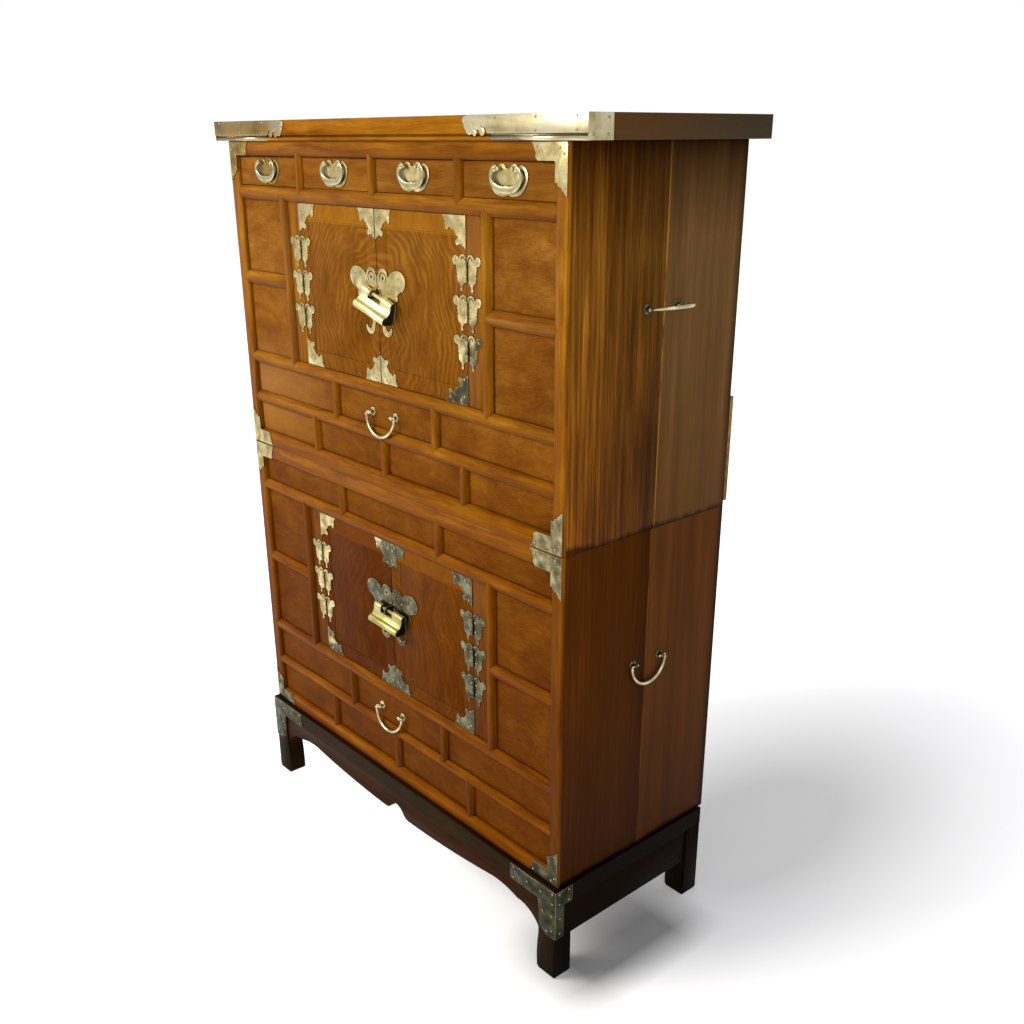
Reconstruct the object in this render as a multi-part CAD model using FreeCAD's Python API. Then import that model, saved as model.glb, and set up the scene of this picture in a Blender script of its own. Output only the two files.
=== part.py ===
import FreeCAD, Part
import math
import os

# A two tier chest: a stand, two tiers stacked on it, drawers, doors, padlocks and brass fittings.
# Millimetres, +Z up, the front faces -Y, the origin is under the middle of the whole chest.

V = FreeCAD.Vector

# Bulge of a quarter circle
quarter = math.tan(math.pi / 8)

# Main sizes of the chest
body_width = 900.0
body_depth = 370.0
seat_gap = 0.3
cut_over = 2.0

# Top board
top_thickness = 33.0
top_side_overhang = 38.0
top_front_overhang = 5.0
top_back_overhang = 2.0
top_edge_flat = 24.0
top_edge_groove = 3.5
top_edge_bead = 6.0
top_groove_curl = 0.4
top_bead_curl = 0.9

# Front frame: rails and uprights with a rounded front, standing proud of the panels
frame_depth = 24.0
bar_round = 6.0
stile_width = 26.0
stile_round = 7.0
stile_lip = 6.0
muntin_width = 22.0
jamb_width = 24.0
hinge_post_width = 35.0
panel_recess = 8.0
panel_thickness = 8.0
crossing_share = 0.46

# Upper tier, from the top down: rails and the rows between them
upper_top_rail = 26.0
drawer_row = 50.0
upper_door_rail = 24.0
upper_door_row = 282.0
upper_sill = 23.0
upper_row_of_three = 56.0
upper_low_rail = 24.0
upper_row_of_four = 54.0
upper_bottom_rail = 28.0

# Lower tier, from the top down
lower_top_rail = 30.0
lower_top_row = 47.0
lower_door_rail = 24.0
lower_door_row = 292.0
lower_sill = 25.0
lower_row_of_three = 60.0
lower_low_rail = 22.0
lower_row_of_four = 60.0
lower_bottom_rail = 27.0

# Rows parted by uprights: a row's place in its tier's list of heights, its number of panels,
# and whether fixed panels close it or drawers do
drawer_count = 4
upper_rows = [(1, drawer_count, False), (5, 3, True), (7, 4, True)]
lower_rows = [(1, 3, True), (5, 3, True), (7, 4, True)]

# Carcass boards
side_thickness = 18.0
back_thickness = 10.0
board_thickness = 12.0
partition_thickness = 12.0
plank_thickness = 8.0
plank_rise = 7.0
plank_height = 175.0

# Doors
door_recess = 7.0
door_thickness = 16.0
door_half_width = 232.0
seam_gap = 2.4
door_gap = 1.0
door_rail = 27.0
door_panel_thickness = 11.0
door_panel_drop = 0.4

# Sheet brass and its outlines
sheet = 1.2
corner_plate_width = 54.0
corner_plate_height = 48.0
shield_width = 46.0
shield_height = 47.0
bracket_reach = 68.0
bracket_drop = 67.0
bracket_margin = 1.5
bracket_fillet = 3.0
cap_length = 246.0
cap_return = 45.0

# Butterfly hinges
leaf_width = 33.0
leaf_height = 54.0
leaf_pitch = 58.5
barrel_radius = 2.6
hinge_pin_radius = 1.2
running_clearance = 0.05
knuckle_gap = 0.3
barrel_low_share = 0.27
barrel_high_share = 0.84

comma_radius = 4.9
comma_width = 2.0
comma_place_share = (0.26, 0.855)
comma_turn = 190.0

# Lock plates, staples and padlocks
spiral_radius = 10.0
spiral_width = 2.0
spiral_eye_radius = 2.6
spiral_place_share = (0.197, 0.847)
spiral_turn = 250.0
wing_width = 76.0
wing_height = 111.0
wing_below_rod = 64.5
left_staple_place = 4.5
right_staple_place = 9.0
staple_thickness = 3.0
staple_wall = 3.4
short_staple_reach = 3.2
rod_radius = 3.0
rod_stand_off = 9.5
lock_length = 85.0
upper_lock_place = 14.0
lower_lock_place = 4.0
lock_top_radius = 6.0
lock_height = 31.0
lock_front = 19.0
bead_radius = 7.0
notch_width = 35.0
notch_shift = -4.5
notch_depth = 8.0
cap_sink = 2.0
case_wall = 1.5
rod_end_margin = 6.0
upper_lock_tilt = 16.0
lower_lock_tilt = 3.5
upper_lock_height_share = 0.512
lower_lock_height_share = 0.55

# Bail handles: half width, drop below the pins, spacing of the posts, distance of the pins from the face
front_bail_sizes = (40.5, 37.5, 66.5, 8.0)
side_bail_sizes = (39.5, 40.0, 64.0, 6.0)
front_bail_lean = 7.0
lower_bail_shift = -18.0
bail_shoulder = 5.0
bail_wire_radius = 2.8
bail_ball_radius = 3.4
bail_pin_radius = 1.8
raised_bail_angle = 98.0
rosette_radius = 8.0
rosette_thickness = 1.6
post_radius = 3.0
eye_radius = 4.0
bail_height_share = 0.55
side_bail_depth_share = 0.525
upper_side_bail_drop = 226.0
lower_side_bail_drop = 228.0

# Drawers and their pulls
drawer_gap = 0.8
drawer_recess = 6.0
drawer_front_thickness = 16.0
drawer_rear_space = 54.0
drawer_wall = 8.0
drawer_bottom = 5.0
drawer_wall_height = 38.0
pull_plate_width = 80.0
pull_plate_height = 40.0
pull_width = 68.0
pull_height = 36.0
pull_rise = 0.5
pull_thickness = 3.0
pull_stand_off = 5.8
pull_pin_radius = 1.2
pull_stud_radius = 2.6
pull_pivot_rise = 14.8
pull_pin_place = 22.0
pull_stud_place = 15.0

# Stand
stand_height = 181.0
stand_front = 9.0
stand_side = 5.0
stand_back = -8.0
stand_rail_height = 35.0
stand_rail_depth = 50.0
leg_width = 42.0
leg_depth = 37.0
leg_flare = 3.0
leg_bevel = 4.0
leg_curl = 0.06
apron_setback = 3.0
apron_thickness = 20.0
apron_ear_drop = 68.0
side_apron_drop = 68.0
strap_length = 112.0
strap_return = 38.0
strap_height = 31.0
leg_plate_drop = 62.0
leg_plate_taper = 10.0

# Outlines as shares of a plate's width and height: each point has the bulge of the edge after it,
# 0 for a straight edge and 1 for a half circle that swells outward
triangle_shares = [
    (0.0, 0.0, 0.0), (1.0, 0.0, -0.15), (0.88, 0.20, 0.15), (0.87, 0.34, 0.9), (0.76, 0.42, -0.35),
    (0.66, 0.36, 0.0), (0.60, 0.42, -0.3), (0.44, 0.54, 0.0), (0.33, 0.66, 0.0), (0.41, 0.72, 0.8),
    (0.34, 0.88, -0.3), (0.20, 0.86, -0.1), (0.0, 1.0, 0.0)]
leaf_shares = [
    (0.03, 0.28, 0.0), (0.10, 0.28, 0.1), (0.28, 0.19, -0.1), (0.34, 0.11, 0.0), (0.31, 0.07, 1.3),
    (0.46, 0.07, 0.0), (0.42, 0.13, -0.2), (0.55, 0.24, 0.4), (0.65, 0.36, 0.5), (0.62, 0.46, 0.5),
    (0.67, 0.57, 0.3), (0.70, 0.67, -0.2), (0.742, 0.707, 1.85), (0.606, 0.907, -0.3),
    (0.52, 0.88, 0.9), (0.03, 0.86, 0.0)]
wing_shares = [
    (0.0, 0.20, 0.0), (0.06, 0.20, -0.3), (0.13, 0.11, 0.9), (0.47, 0.11, 0.9), (0.41, 0.13, -0.8),
    (0.24, 0.14, -0.4), (0.22, 0.22, 0.0), (0.40, 0.36, 0.1), (0.60, 0.50, -0.2), (0.69, 0.54, 0.4),
    (0.70, 0.63, -0.15), (0.90, 0.70, 0.3), (1.0, 0.86, 0.35), (0.74, 0.98, 0.22), (0.39, 0.87, 0.0),
    (0.37, 0.88, 0.75), (0.05, 0.93, -0.4), (0.0, 0.88, 0.0)]
bracket_end_shares = [
    (1.0, 0.0, -0.1), (0.93, 0.30, 0.0), (0.88, 0.62, 0.4), (0.86, 0.92, 0.3), (0.78, 1.0, 0.0)]
bracket_foot_shares = [(1.0, 0.76, -0.4), (0.80, 0.75, 0.4), (0.50, 0.83, 0.2), (0.30, 0.90, 0.1)]
cap_shares = [
    (0.0, 0.0, 0.0), (0.775, 0.0, 0.3), (0.792, 0.30, 0.2), (0.835, 0.44, 0.0), (0.828, 0.31, 2.3),
    (0.844, 0.03, -0.4), (0.866, 0.20, 0.2), (0.898, 0.30, 0.0), (0.892, 0.20, 2.0),
    (0.905, -0.04, -0.2), (0.930, -0.08, 0.3), (0.967, 0.14, 0.2), (0.985, 0.46, -0.3),
    (0.990, 0.56, 0.9), (0.968, 0.92, 0.0), (0.96, 1.0, 0.0), (0.0, 1.0, 0.0)]

# Right halves of symmetric outlines, from the middle of the bottom edge round to the top
pull_plate_shares = [
    (0.0, 0.03, 0.15), (0.22, 0.0, 0.25), (0.44, 0.30, 0.25), (0.50, 0.68, 0.3), (0.40, 0.96, 0.5),
    (0.28, 0.90, -0.3), (0.25, 0.93, 0.6), (0.07, 0.93, -0.4)]
pull_shares = [
    (0.0, 0.0, 0.10), (0.27, 0.05, 0.33), (0.50, 0.58, 0.33), (0.38, 0.99, 0.25), (0.275, 0.93, 0.5),
    (0.295, 0.83, -0.30), (0.43, 0.60, -0.3), (0.25, 0.33, -0.1), (0.0, 0.30, -0.1)]
apron_shares = [
    (0.0, 0.35, -0.2), (0.046, 0.51, 0.25), (0.092, 0.67, 0.03), (0.702, 0.40, -0.10),
    (0.862, 0.53, -0.30), (1.0, 1.0, 0.0), (1.0, 0.0, 0.0)]

# Levels and planes worked out from the sizes above
upper_heights = [upper_top_rail, drawer_row, upper_door_rail, upper_door_row, upper_sill,
                 upper_row_of_three, upper_low_rail, upper_row_of_four, upper_bottom_rail]
lower_heights = [lower_top_rail, lower_top_row, lower_door_rail, lower_door_row, lower_sill,
                 lower_row_of_three, lower_low_rail, lower_row_of_four, lower_bottom_rail]
lower_base = stand_height + seat_gap
lower_top = lower_base + sum(lower_heights)
upper_base = lower_top + seat_gap
upper_top = upper_base + sum(upper_heights)
chest_height = upper_top + top_thickness
half_width = body_width / 2

lock_reach = rod_stand_off + lock_front - door_recess
back_reach = body_depth + plank_thickness
front = (lock_reach - back_reach) / 2
back = front + body_depth
door_face = front + door_recess
rod_y = door_face - rod_stand_off
inner_half = half_width - stile_width
jamb_centre = door_half_width + hinge_post_width + jamb_width / 2
drawer_depth = body_depth - drawer_recess - drawer_rear_space - back_thickness


def box(x0, x1, y0, y1, z0, z1):
    """A block between two opposite corners."""
    return Part.makeBox(x1 - x0, y1 - y0, z1 - z0, V(x0, y0, z0))


def mid_point(a, b, bulge):
    """The middle of an arc from a to b, which swells to the right of the way from a to b."""
    across = (b[1] - a[1], a[0] - b[0])
    return ((a[0] + b[0] + bulge * across[0]) / 2, (a[1] + b[1] + bulge * across[1]) / 2)


def outline(path, place):
    """A closed wire through points (u, v, bulge), put in space by the function place."""
    edges = []
    for i, a in enumerate(path):
        b = path[(i + 1) % len(path)]
        start = place(a[0], a[1])
        end = place(b[0], b[1])
        if a[2]:
            middle = mid_point(a, b, a[2])
            edges.append(Part.Arc(start, place(middle[0], middle[1]), end).toShape())
        else:
            edges.append(Part.makeLine(start, end))
    return Part.Wire(edges)


def slab(path, place, thickness):
    """A plate of the given outline, thickened along a vector."""
    return Part.Face(outline(path, place)).extrude(thickness)


def scaled(shares, width, height):
    """An outline's points from its shares of a width and a height."""
    return [(u * width, v * height, bulge) for u, v, bulge in shares]


def mirrored(half):
    """A whole outline from its right half, whose points at u = 0 are shared by both halves."""
    left = [(-half[i][0], half[i][1], half[i - 1][2]) for i in range(len(half) - 1, 0, -1) if half[i][0]]
    return half + left


def front_plate(path, x, z, side, rise, face):
    """A brass sheet on an upright face: u runs along side (1 or -1), v along rise (1 or -1)."""
    def place(u, v):
        return V(x + side * u, face - sheet, z + rise * v)
    return slab(path, place, V(0, sheet, 0))


def curl_slot(centre, radius, width, turn, place):
    """The face of a curved slot of the given width round a centre, open at the bottom."""
    swell = math.tan(math.radians(turn / 4))
    first = math.radians(90 - turn / 2)
    last = math.radians(90 + turn / 2)
    path = []
    for reach, angle, bulge in ((radius, first, swell), (radius, last, 0.0),
                                (radius - width, last, -swell), (radius - width, first, 0.0)):
        path.append((centre[0] + reach * math.cos(angle), centre[1] + reach * math.sin(angle), bulge))
    return Part.Face(outline(path, place))


def pierced(plate, x, z, side, width, height, place_share, radius, band, turn, eye):
    """A front plate with a curled slot and, where eye isn't zero, a round hole at its middle."""
    def place(u, v):
        return V(x + side * u, front - cut_over, z + v)
    depth = V(0, door_recess + 2 * cut_over, 0)
    centre = (place_share[0] * width, place_share[1] * height)
    plate = plate.cut(curl_slot(centre, radius, band, turn, place).extrude(depth))
    if eye:
        hole = Part.makeCylinder(eye, depth.Length, place(centre[0], centre[1]), V(0, 1, 0))
        plate = plate.cut(hole)
    return plate


def solids(shapes):
    """One shape that holds every given solid as a separate solid."""
    found = []
    for shape in shapes:
        found.extend(shape.Solids)
    return Part.makeCompound(found)


def bar_section(width, low_round, high_round):
    """Section of a bar, u across and v behind the crown, rounded right over or at chosen edges."""
    if low_round and high_round:
        return [(0.0, bar_round, 2 * bar_round / width), (width, bar_round, 0.0),
                (width, frame_depth, 0.0), (0.0, frame_depth, 0.0)]
    path = []
    if low_round:
        path += [(0.0, stile_round, quarter), (stile_round, 0.0, 0.0)]
    else:
        path += [(0.0, 0.0, 0.0)]
    if high_round:
        path += [(width - stile_round, 0.0, quarter), (width, stile_round, 0.0)]
    else:
        path += [(width, 0.0, 0.0)]
    return path + [(width, frame_depth, 0.0), (0.0, frame_depth, 0.0)]


def level_bar(x0, x1, z0, z1, low_round=True, high_round=True):
    """A horizontal bar of the front frame."""
    def place(u, v):
        return V(x0, front + v, z0 + u)
    return slab(bar_section(z1 - z0, low_round, high_round), place, V(x1 - x0, 0, 0))


def upright_bar(x0, x1, z0, z1, low_round=True, high_round=True):
    """An upright bar of the front frame."""
    def place(u, v):
        return V(x0 + u, front + v, z0)
    return slab(bar_section(x1 - x0, low_round, high_round), place, V(0, 0, z1 - z0))


def cut_all(shape, others):
    """A shape less all of the others."""
    for other in others:
        shape = shape.cut(other)
    return shape


def row_levels(heights, top):
    """Bottom and top of each rail and row, from the top of the tier down."""
    levels = []
    level = top
    for height in heights:
        levels.append((level - height, level))
        level -= height
    return levels


def muntin_places(count):
    """Middles of the uprights that part a row into equal panels."""
    opening = (2 * inner_half - (count - 1) * muntin_width) / count
    return [-inner_half + (i + 1) * opening + (i + 0.5) * muntin_width for i in range(count - 1)]


def column_edges():
    """Edges of a side column of panels, from the outer stile to the jamb."""
    return jamb_centre + jamb_width / 2, inner_half


def door_edges():
    """A door's outer edge, at the hinges, and its inner edge, at the seam."""
    return door_half_width, seam_gap / 2


def build_stiles(base, top):
    """The two outer uprights, with a thin lip in front of the side boards."""
    stiles = []
    for side in (-1, 1):
        outer = side * half_width
        inner = side * inner_half
        bar = upright_bar(min(outer, inner), max(outer, inner), base, top, side > 0, side < 0)
        board = box(min(outer, outer - side * side_thickness), max(outer, outer - side * side_thickness),
                    front + stile_lip, back, base, top)
        stiles.append(bar.cut(board))
    return stiles


def build_rails(levels, stiles):
    """The rails between the rows."""
    rails = []
    last = len(levels) - 1
    for index in range(0, len(levels), 2):
        low, high = levels[index]
        reach = inner_half + stile_round
        bar = level_bar(-reach, reach, low, high, index != last, index != 0)
        rails.append(cut_all(bar, stiles))
    return rails


def build_column_rails(levels, stiles, jambs):
    """The short rail halfway up each side column."""
    low, high = levels[3]
    middle = (low + high) / 2
    near, far = column_edges()
    rails = []
    for side in (-1, 1):
        ends = sorted((side * (near - crossing_share * jamb_width), side * (far + stile_round)))
        bar = level_bar(ends[0], ends[1], middle - jamb_width / 2, middle + jamb_width / 2)
        rails.append(cut_all(bar, stiles + jambs))
    return rails


def build_jambs(levels, rails):
    """The two rounded uprights outside the doors."""
    low, high = levels[3]
    below = levels[4][1] - levels[4][0]
    above = levels[2][1] - levels[2][0]
    jambs = []
    for side in (-1, 1):
        bar = upright_bar(side * jamb_centre - jamb_width / 2, side * jamb_centre + jamb_width / 2,
                          low - crossing_share * below, high + crossing_share * above)
        jambs.append(cut_all(bar, rails))
    return jambs


def build_muntins(levels, row, count, rails):
    """The short uprights of one row, pointed where they meet the rails."""
    low, high = levels[row]
    above = levels[row - 1][1] - levels[row - 1][0]
    below = levels[row + 1][1] - levels[row + 1][0]
    over = min(crossing_share * above, stile_round) if row == 1 else crossing_share * above
    under = min(crossing_share * below, stile_round) if row == len(levels) - 2 else crossing_share * below
    bars = []
    for x in muntin_places(count):
        bar = upright_bar(x - muntin_width / 2, x + muntin_width / 2, low - under, high + over)
        bars.append(cut_all(bar, rails))
    return bars


def build_row_panels(levels, row, count):
    """The flat panels of one row."""
    low, high = levels[row]
    edges = [-inner_half]
    for x in muntin_places(count):
        edges += [x - muntin_width / 2, x + muntin_width / 2]
    edges.append(inner_half)
    face = front + panel_recess
    return [box(edges[i], edges[i + 1], face, face + panel_thickness, low, high)
            for i in range(0, len(edges), 2)]


def build_column_panels(levels):
    """Two panels in the column at each side of the doors."""
    low, high = levels[3]
    middle = (low + high) / 2
    near, far = column_edges()
    face = front + panel_recess
    panels = []
    for side in (-1, 1):
        x0, x1 = sorted((side * near, side * far))
        panels.append(box(x0, x1, face, face + panel_thickness, low, middle - jamb_width / 2))
        panels.append(box(x0, x1, face, face + panel_thickness, middle + jamb_width / 2, high))
    return panels


def build_hinge_posts(levels):
    """The flat strips between the jambs and the doors, which carry the fixed hinge leaves."""
    low, high = levels[3]
    posts = []
    for side in (-1, 1):
        x0, x1 = sorted((side * door_half_width, side * (jamb_centre - jamb_width / 2)))
        posts.append(box(x0, x1, door_face, front + frame_depth, low, high))
    return posts


def bracket_path(reach, drop, arm, foot):
    """Outline of a corner bracket: arm is the height along the rail, foot the width on the stile."""
    path = [(0.0, 0.0, 0.0)]
    path += [(u * reach, v * arm, bulge) for u, v, bulge in bracket_end_shares]
    path += [(foot + bracket_fillet, arm, -quarter), (foot, arm + bracket_fillet, 0.0)]
    path += [(u * foot, v * drop, bulge) for u, v, bulge in bracket_foot_shares]
    return path + [(0.0, drop, 0.0)]


def build_corner_plates(levels, base, top):
    """Brass brackets on the four corners of a tier's front."""
    foot = stile_width - 2 * bracket_margin
    plates = []
    for side in (-1, 1):
        for level, rise, rail in ((top, -1, levels[0]), (base, 1, levels[-1])):
            arm = rail[1] - rail[0] - 2 * bracket_margin
            path = bracket_path(bracket_reach, bracket_drop, arm, foot)
            x = side * (half_width - bracket_margin)
            plates.append(front_plate(path, x, level + rise * bracket_margin, -side, rise, front))
    return plates


def leaf_bottoms(levels):
    """Lowest points of a door's three hinges."""
    low, high = levels[3]
    middle = (low + high) / 2
    return [middle - leaf_height / 2 + step * leaf_pitch for step in (-1, 0, 1)]


def hinge_axis_y():
    """The hinge pins lie just in front of the door's face."""
    return door_face - barrel_radius - running_clearance


def barrel(x, bottom, low, high, radius, bore):
    """A piece of hinge barrel between two heights above the leaf's lowest point."""
    tube = Part.makeCylinder(radius, high - low, V(x, hinge_axis_y(), bottom + low))
    if bore:
        hole = Part.makeCylinder(bore, high - low + 2 * cut_over, V(x, hinge_axis_y(), bottom + low - cut_over))
        tube = tube.cut(hole)
    return tube


def barrel_cuts():
    """Heights where the barrel is parted: the middle third turns with the door."""
    low = barrel_low_share * leaf_height
    high = barrel_high_share * leaf_height
    third = (high - low) / 3
    return low, low + third, high - third, high


def leaf_plate(x, bottom, side):
    """The pierced sheet of a hinge leaf, pointing to the given side of the pin."""
    path = scaled(leaf_shares, leaf_width, leaf_height)
    plate = front_plate(path, x, bottom, side, 1, door_face)
    return pierced(plate, x, bottom, side, leaf_width, leaf_height, comma_place_share,
                   comma_radius, comma_width, comma_turn, 0)


def fixed_leaf(x, bottom, side):
    """Leaf on the post, with the outer knuckles and the pin."""
    low, first, second, high = barrel_cuts()
    space = barrel(x, bottom, first - knuckle_gap, second + knuckle_gap, barrel_radius + knuckle_gap, 0)
    plate = leaf_plate(x, bottom, side).cut(space)
    pin = barrel(x, bottom, low, high, hinge_pin_radius, 0)
    ends = [barrel(x, bottom, low, first - knuckle_gap, barrel_radius, 0),
            barrel(x, bottom, second + knuckle_gap, high, barrel_radius, 0)]
    return plate.fuse(ends + [pin])


def moving_leaf(x, bottom, side):
    """Leaf on the door, with the middle knuckle around the pin."""
    low, first, second, high = barrel_cuts()
    plate = leaf_plate(x, bottom, side)
    for start, end in ((low - cut_over, first), (second, high + cut_over)):
        plate = plate.cut(barrel(x, bottom, start, end, barrel_radius + knuckle_gap, 0))
    bore = hinge_pin_radius + running_clearance
    plate = plate.cut(barrel(x, bottom, first, second, barrel_radius, 0))
    return plate.fuse(barrel(x, bottom, first, second, barrel_radius, bore))


def build_fixed_leaves(levels):
    """Hinge leaves on both posts."""
    leaves = []
    for side in (-1, 1):
        for bottom in leaf_bottoms(levels):
            leaves.append(fixed_leaf(side * door_half_width, bottom, side))
    return leaves


def rod_line(levels, place, height_share, tilt):
    """A padlock's middle on its rod, and the direction of the rod."""
    low, high = levels[3]
    middle = V(place, rod_y, low + height_share * (high - low))
    angle = math.radians(tilt)
    return middle, V(math.cos(angle), 0, -math.sin(angle))


def rod_height(rod, x):
    """Height of the rod's axis at a place across the chest."""
    middle, way = rod
    return middle.z + (x - middle.x) * way.z / way.x


def staple_path(reach, radius):
    """Side view of a staple: u is forward of the lock plate, v up from the rod."""
    if not reach:
        return [(0.0, -radius, 1.0), (0.0, radius, 0.0)]
    return [(0.0, -radius, 0.0), (reach, -radius, 1.0), (reach, radius, 0.0), (0.0, radius, 0.0)]


def build_staple(rod, tilt, side):
    """The long staple around the rod, on the left door, or the short one, on the right door."""
    x = right_staple_place if side > 0 else -left_staple_place
    z = rod_height(rod, x)
    radius = rod_radius + running_clearance + staple_wall
    plate_face = door_face - sheet

    def place(u, v):
        return V(x - staple_thickness / 2, plate_face - u, z + v)
    if side > 0:
        stub = short_staple_reach - sheet
        ring = slab(staple_path(0.0, stub), place, V(staple_thickness, 0, 0))
    else:
        ring = slab(staple_path(rod_stand_off - sheet, radius), place, V(staple_thickness, 0, 0))
        hole = Part.makeCylinder(rod_radius + running_clearance, staple_thickness + 2 * cut_over,
                                 V(x - staple_thickness / 2 - cut_over, rod_y, z), V(1, 0, 0))
        ring = ring.cut(hole)
        ring.rotate(V(x, rod_y, z), V(0, 1, 0), tilt)
    return ring


def build_door_frame(levels, side):
    """Four mitred members of a door's frame."""
    low, high = levels[3]
    low += door_gap
    high -= door_gap
    outer, inner = door_edges()
    outer -= door_gap
    corners = [(outer, low), (outer, high), (inner, high), (inner, low)]
    inset = [(outer - door_rail, low + door_rail), (outer - door_rail, high - door_rail),
             (inner + door_rail, high - door_rail), (inner + door_rail, low + door_rail)]

    def place(u, v):
        return V(side * u, door_face, v)
    members = []
    for i in range(4):
        j = (i + 1) % 4
        path = [corners[i] + (0.0,), corners[j] + (0.0,), inset[j] + (0.0,), inset[i] + (0.0,)]
        members.append(slab(path, place, V(0, door_thickness, 0)))
    return members


def build_door_panel(levels, side):
    """The figured panel inside a door's frame."""
    low, high = levels[3]
    outer, inner = door_edges()
    x0, x1 = sorted((side * (outer - door_gap - door_rail), side * (inner + door_rail)))
    face = door_face + door_panel_drop
    return box(x0, x1, face, face + door_panel_thickness,
               low + door_gap + door_rail, high - door_gap - door_rail)


def build_door_fittings(levels, side, rod, tilt):
    """Corner plates, centre shields, lock plate half, staple and moving hinge leaves of a door."""
    low, high = levels[3]
    low += door_gap
    high -= door_gap
    outer, inner = door_edges()
    outer -= door_gap
    fittings = []
    corner = scaled(triangle_shares, corner_plate_width, corner_plate_height)
    shield = scaled(triangle_shares, shield_width, shield_height)
    for level, rise in ((low, 1), (high, -1)):
        fittings.append(front_plate(corner, side * outer, level, -side, rise, door_face))
        fittings.append(front_plate(shield, side * inner, level, side, rise, door_face))
    wing = scaled(wing_shares, wing_width, wing_height)
    wing_bottom = rod[0].z - wing_below_rod
    plate = front_plate(wing, side * inner, wing_bottom, side, 1, door_face)
    plate = pierced(plate, side * inner, wing_bottom, side, wing_width, wing_height,
                    spiral_place_share, spiral_radius, spiral_width, spiral_turn, spiral_eye_radius)
    fittings.append(plate.fuse(build_staple(rod, tilt, side)))
    for bottom in leaf_bottoms(levels):
        fittings.append(moving_leaf(side * door_half_width, bottom, -side))
    return fittings


def case_path(inset):
    """End view of a padlock case: u is forward of the rod, v up from it, drawn in by inset."""
    top = lock_top_radius - inset
    rear = -lock_top_radius + inset
    bead = bead_radius - inset
    bead_u = lock_front - bead_radius
    bead_v = bead_radius - lock_height
    return [(rear, 0.0, 0.0), (rear, inset - lock_height + bead_radius / 2, 0.0),
            (rear + bead_radius / 2, inset - lock_height, 0.0), (bead_u, bead_v - bead, 1.0),
            (bead_u, bead_v + bead, -0.3), (top, 0.0, 1.0)]


def along_rod(rod, tilt, shape):
    """A shape built along +X about the origin, carried to the rod and tilted with it."""
    placed = shape.copy()
    placed.rotate(V(0, 0, 0), V(0, 1, 0), tilt)
    placed.translate(rod[0])
    return placed


def case_block(inset, x0, x1):
    """A length of the padlock's case."""
    def place(u, v):
        return V(x0, -u, v)
    return slab(case_path(inset), place, V(x1 - x0, 0, 0))


def build_padlock_case(rod, tilt):
    """The folded case, open at its top notch, bored for the rod and sunk at both ends."""
    half = lock_length / 2
    case = case_block(0.0, -half, half)
    notch_start = notch_shift - notch_width / 2
    notch = box(notch_start, notch_start + notch_width, -lock_front - cut_over, lock_top_radius + cut_over,
                -notch_depth, lock_top_radius + cut_over)
    bore = Part.makeCylinder(rod_radius + running_clearance, lock_length - rod_end_margin,
                             V(rod_end_margin - half, 0, 0), V(1, 0, 0))
    case = case.cut(notch).cut(bore)
    case = case.cut(case_block(case_wall, half - 2 * cap_sink, half + cut_over))
    case = case.cut(case_block(case_wall, -half - cut_over, cap_sink - half))
    return along_rod(rod, tilt, case)


def build_padlock_bolt(rod, tilt):
    """The sliding rod with its end plate, which closes the right end of the case."""
    half = lock_length / 2
    inset = case_wall + seat_gap
    plate = case_block(inset, half - 2 * cap_sink + seat_gap, half - cap_sink + seat_gap)
    length = lock_length - 2 * cap_sink - 2 * rod_end_margin
    pin = Part.makeCylinder(rod_radius, length, V(half - cap_sink - length, 0, 0), V(1, 0, 0))
    return along_rod(rod, tilt, plate.fuse(pin))


def turn_to(shape, outward, origin):
    """A shape built facing -Y, turned to face along outward about +Z and carried to a place."""
    angle = math.degrees(math.atan2(outward.y, outward.x)) + 90
    turned = shape.copy()
    turned.rotate(V(0, 0, 0), V(0, 0, 1), angle)
    turned.translate(origin)
    return turned


def bail_posts(outward, origin, sizes):
    """Two rosettes with eyed posts; origin is on the face, midway between them."""
    spacing, stand_off = sizes[2:]
    posts = []
    for side in (-1, 1):
        x = side * spacing / 2
        rosette = Part.makeCylinder(rosette_radius, rosette_thickness, V(x, 0, 0), V(0, -1, 0))
        post = Part.makeCylinder(post_radius, stand_off, V(x, 0, 0), V(0, -1, 0))
        eye = Part.makeSphere(eye_radius, V(x, -stand_off, 0))
        hole = Part.makeCylinder(bail_pin_radius + running_clearance, 2 * eye_radius + 2 * cut_over,
                                 V(x - eye_radius - cut_over, -stand_off, 0), V(1, 0, 0))
        posts.append(turn_to(rosette.fuse([post, eye]).cut(hole), outward, origin))
    return posts


def build_bail(outward, origin, sizes, angle):
    """A bail handle with its pins in the posts' eyes, swung out by an angle from hanging straight down."""
    half, drop, spacing, stand_off = sizes
    shoulder = V(half, 0, -bail_shoulder)
    left = V(-half, 0, -bail_shoulder)
    arc = Part.Arc(left, V(0, 0, -drop), shoulder).toShape()
    start = Part.Wire(Part.makeCircle(bail_wire_radius, left, arc.tangentAt(arc.FirstParameter)))
    hoop = Part.Wire([arc]).makePipeShell([start], True, True)
    pieces = []
    pin_end = spacing / 2 - eye_radius
    for side in (-1, 1):
        ball = V(side * half, 0, -bail_shoulder)
        elbow = V(side * half, 0, 0)
        pieces.append(Part.makeSphere(bail_ball_radius, ball))
        pieces.append(Part.makeCylinder(bail_pin_radius, bail_shoulder, ball, V(0, 0, 1)))
        pieces.append(Part.makeSphere(bail_pin_radius, elbow))
        pieces.append(Part.makeCylinder(bail_pin_radius, half - pin_end, elbow, V(-side, 0, 0)))
    bail = hoop.fuse(pieces)
    bail.rotate(V(0, 0, 0), V(1, 0, 0), -angle)
    bail.translate(V(0, -stand_off, 0))
    return turn_to(bail, outward, origin)


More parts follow.
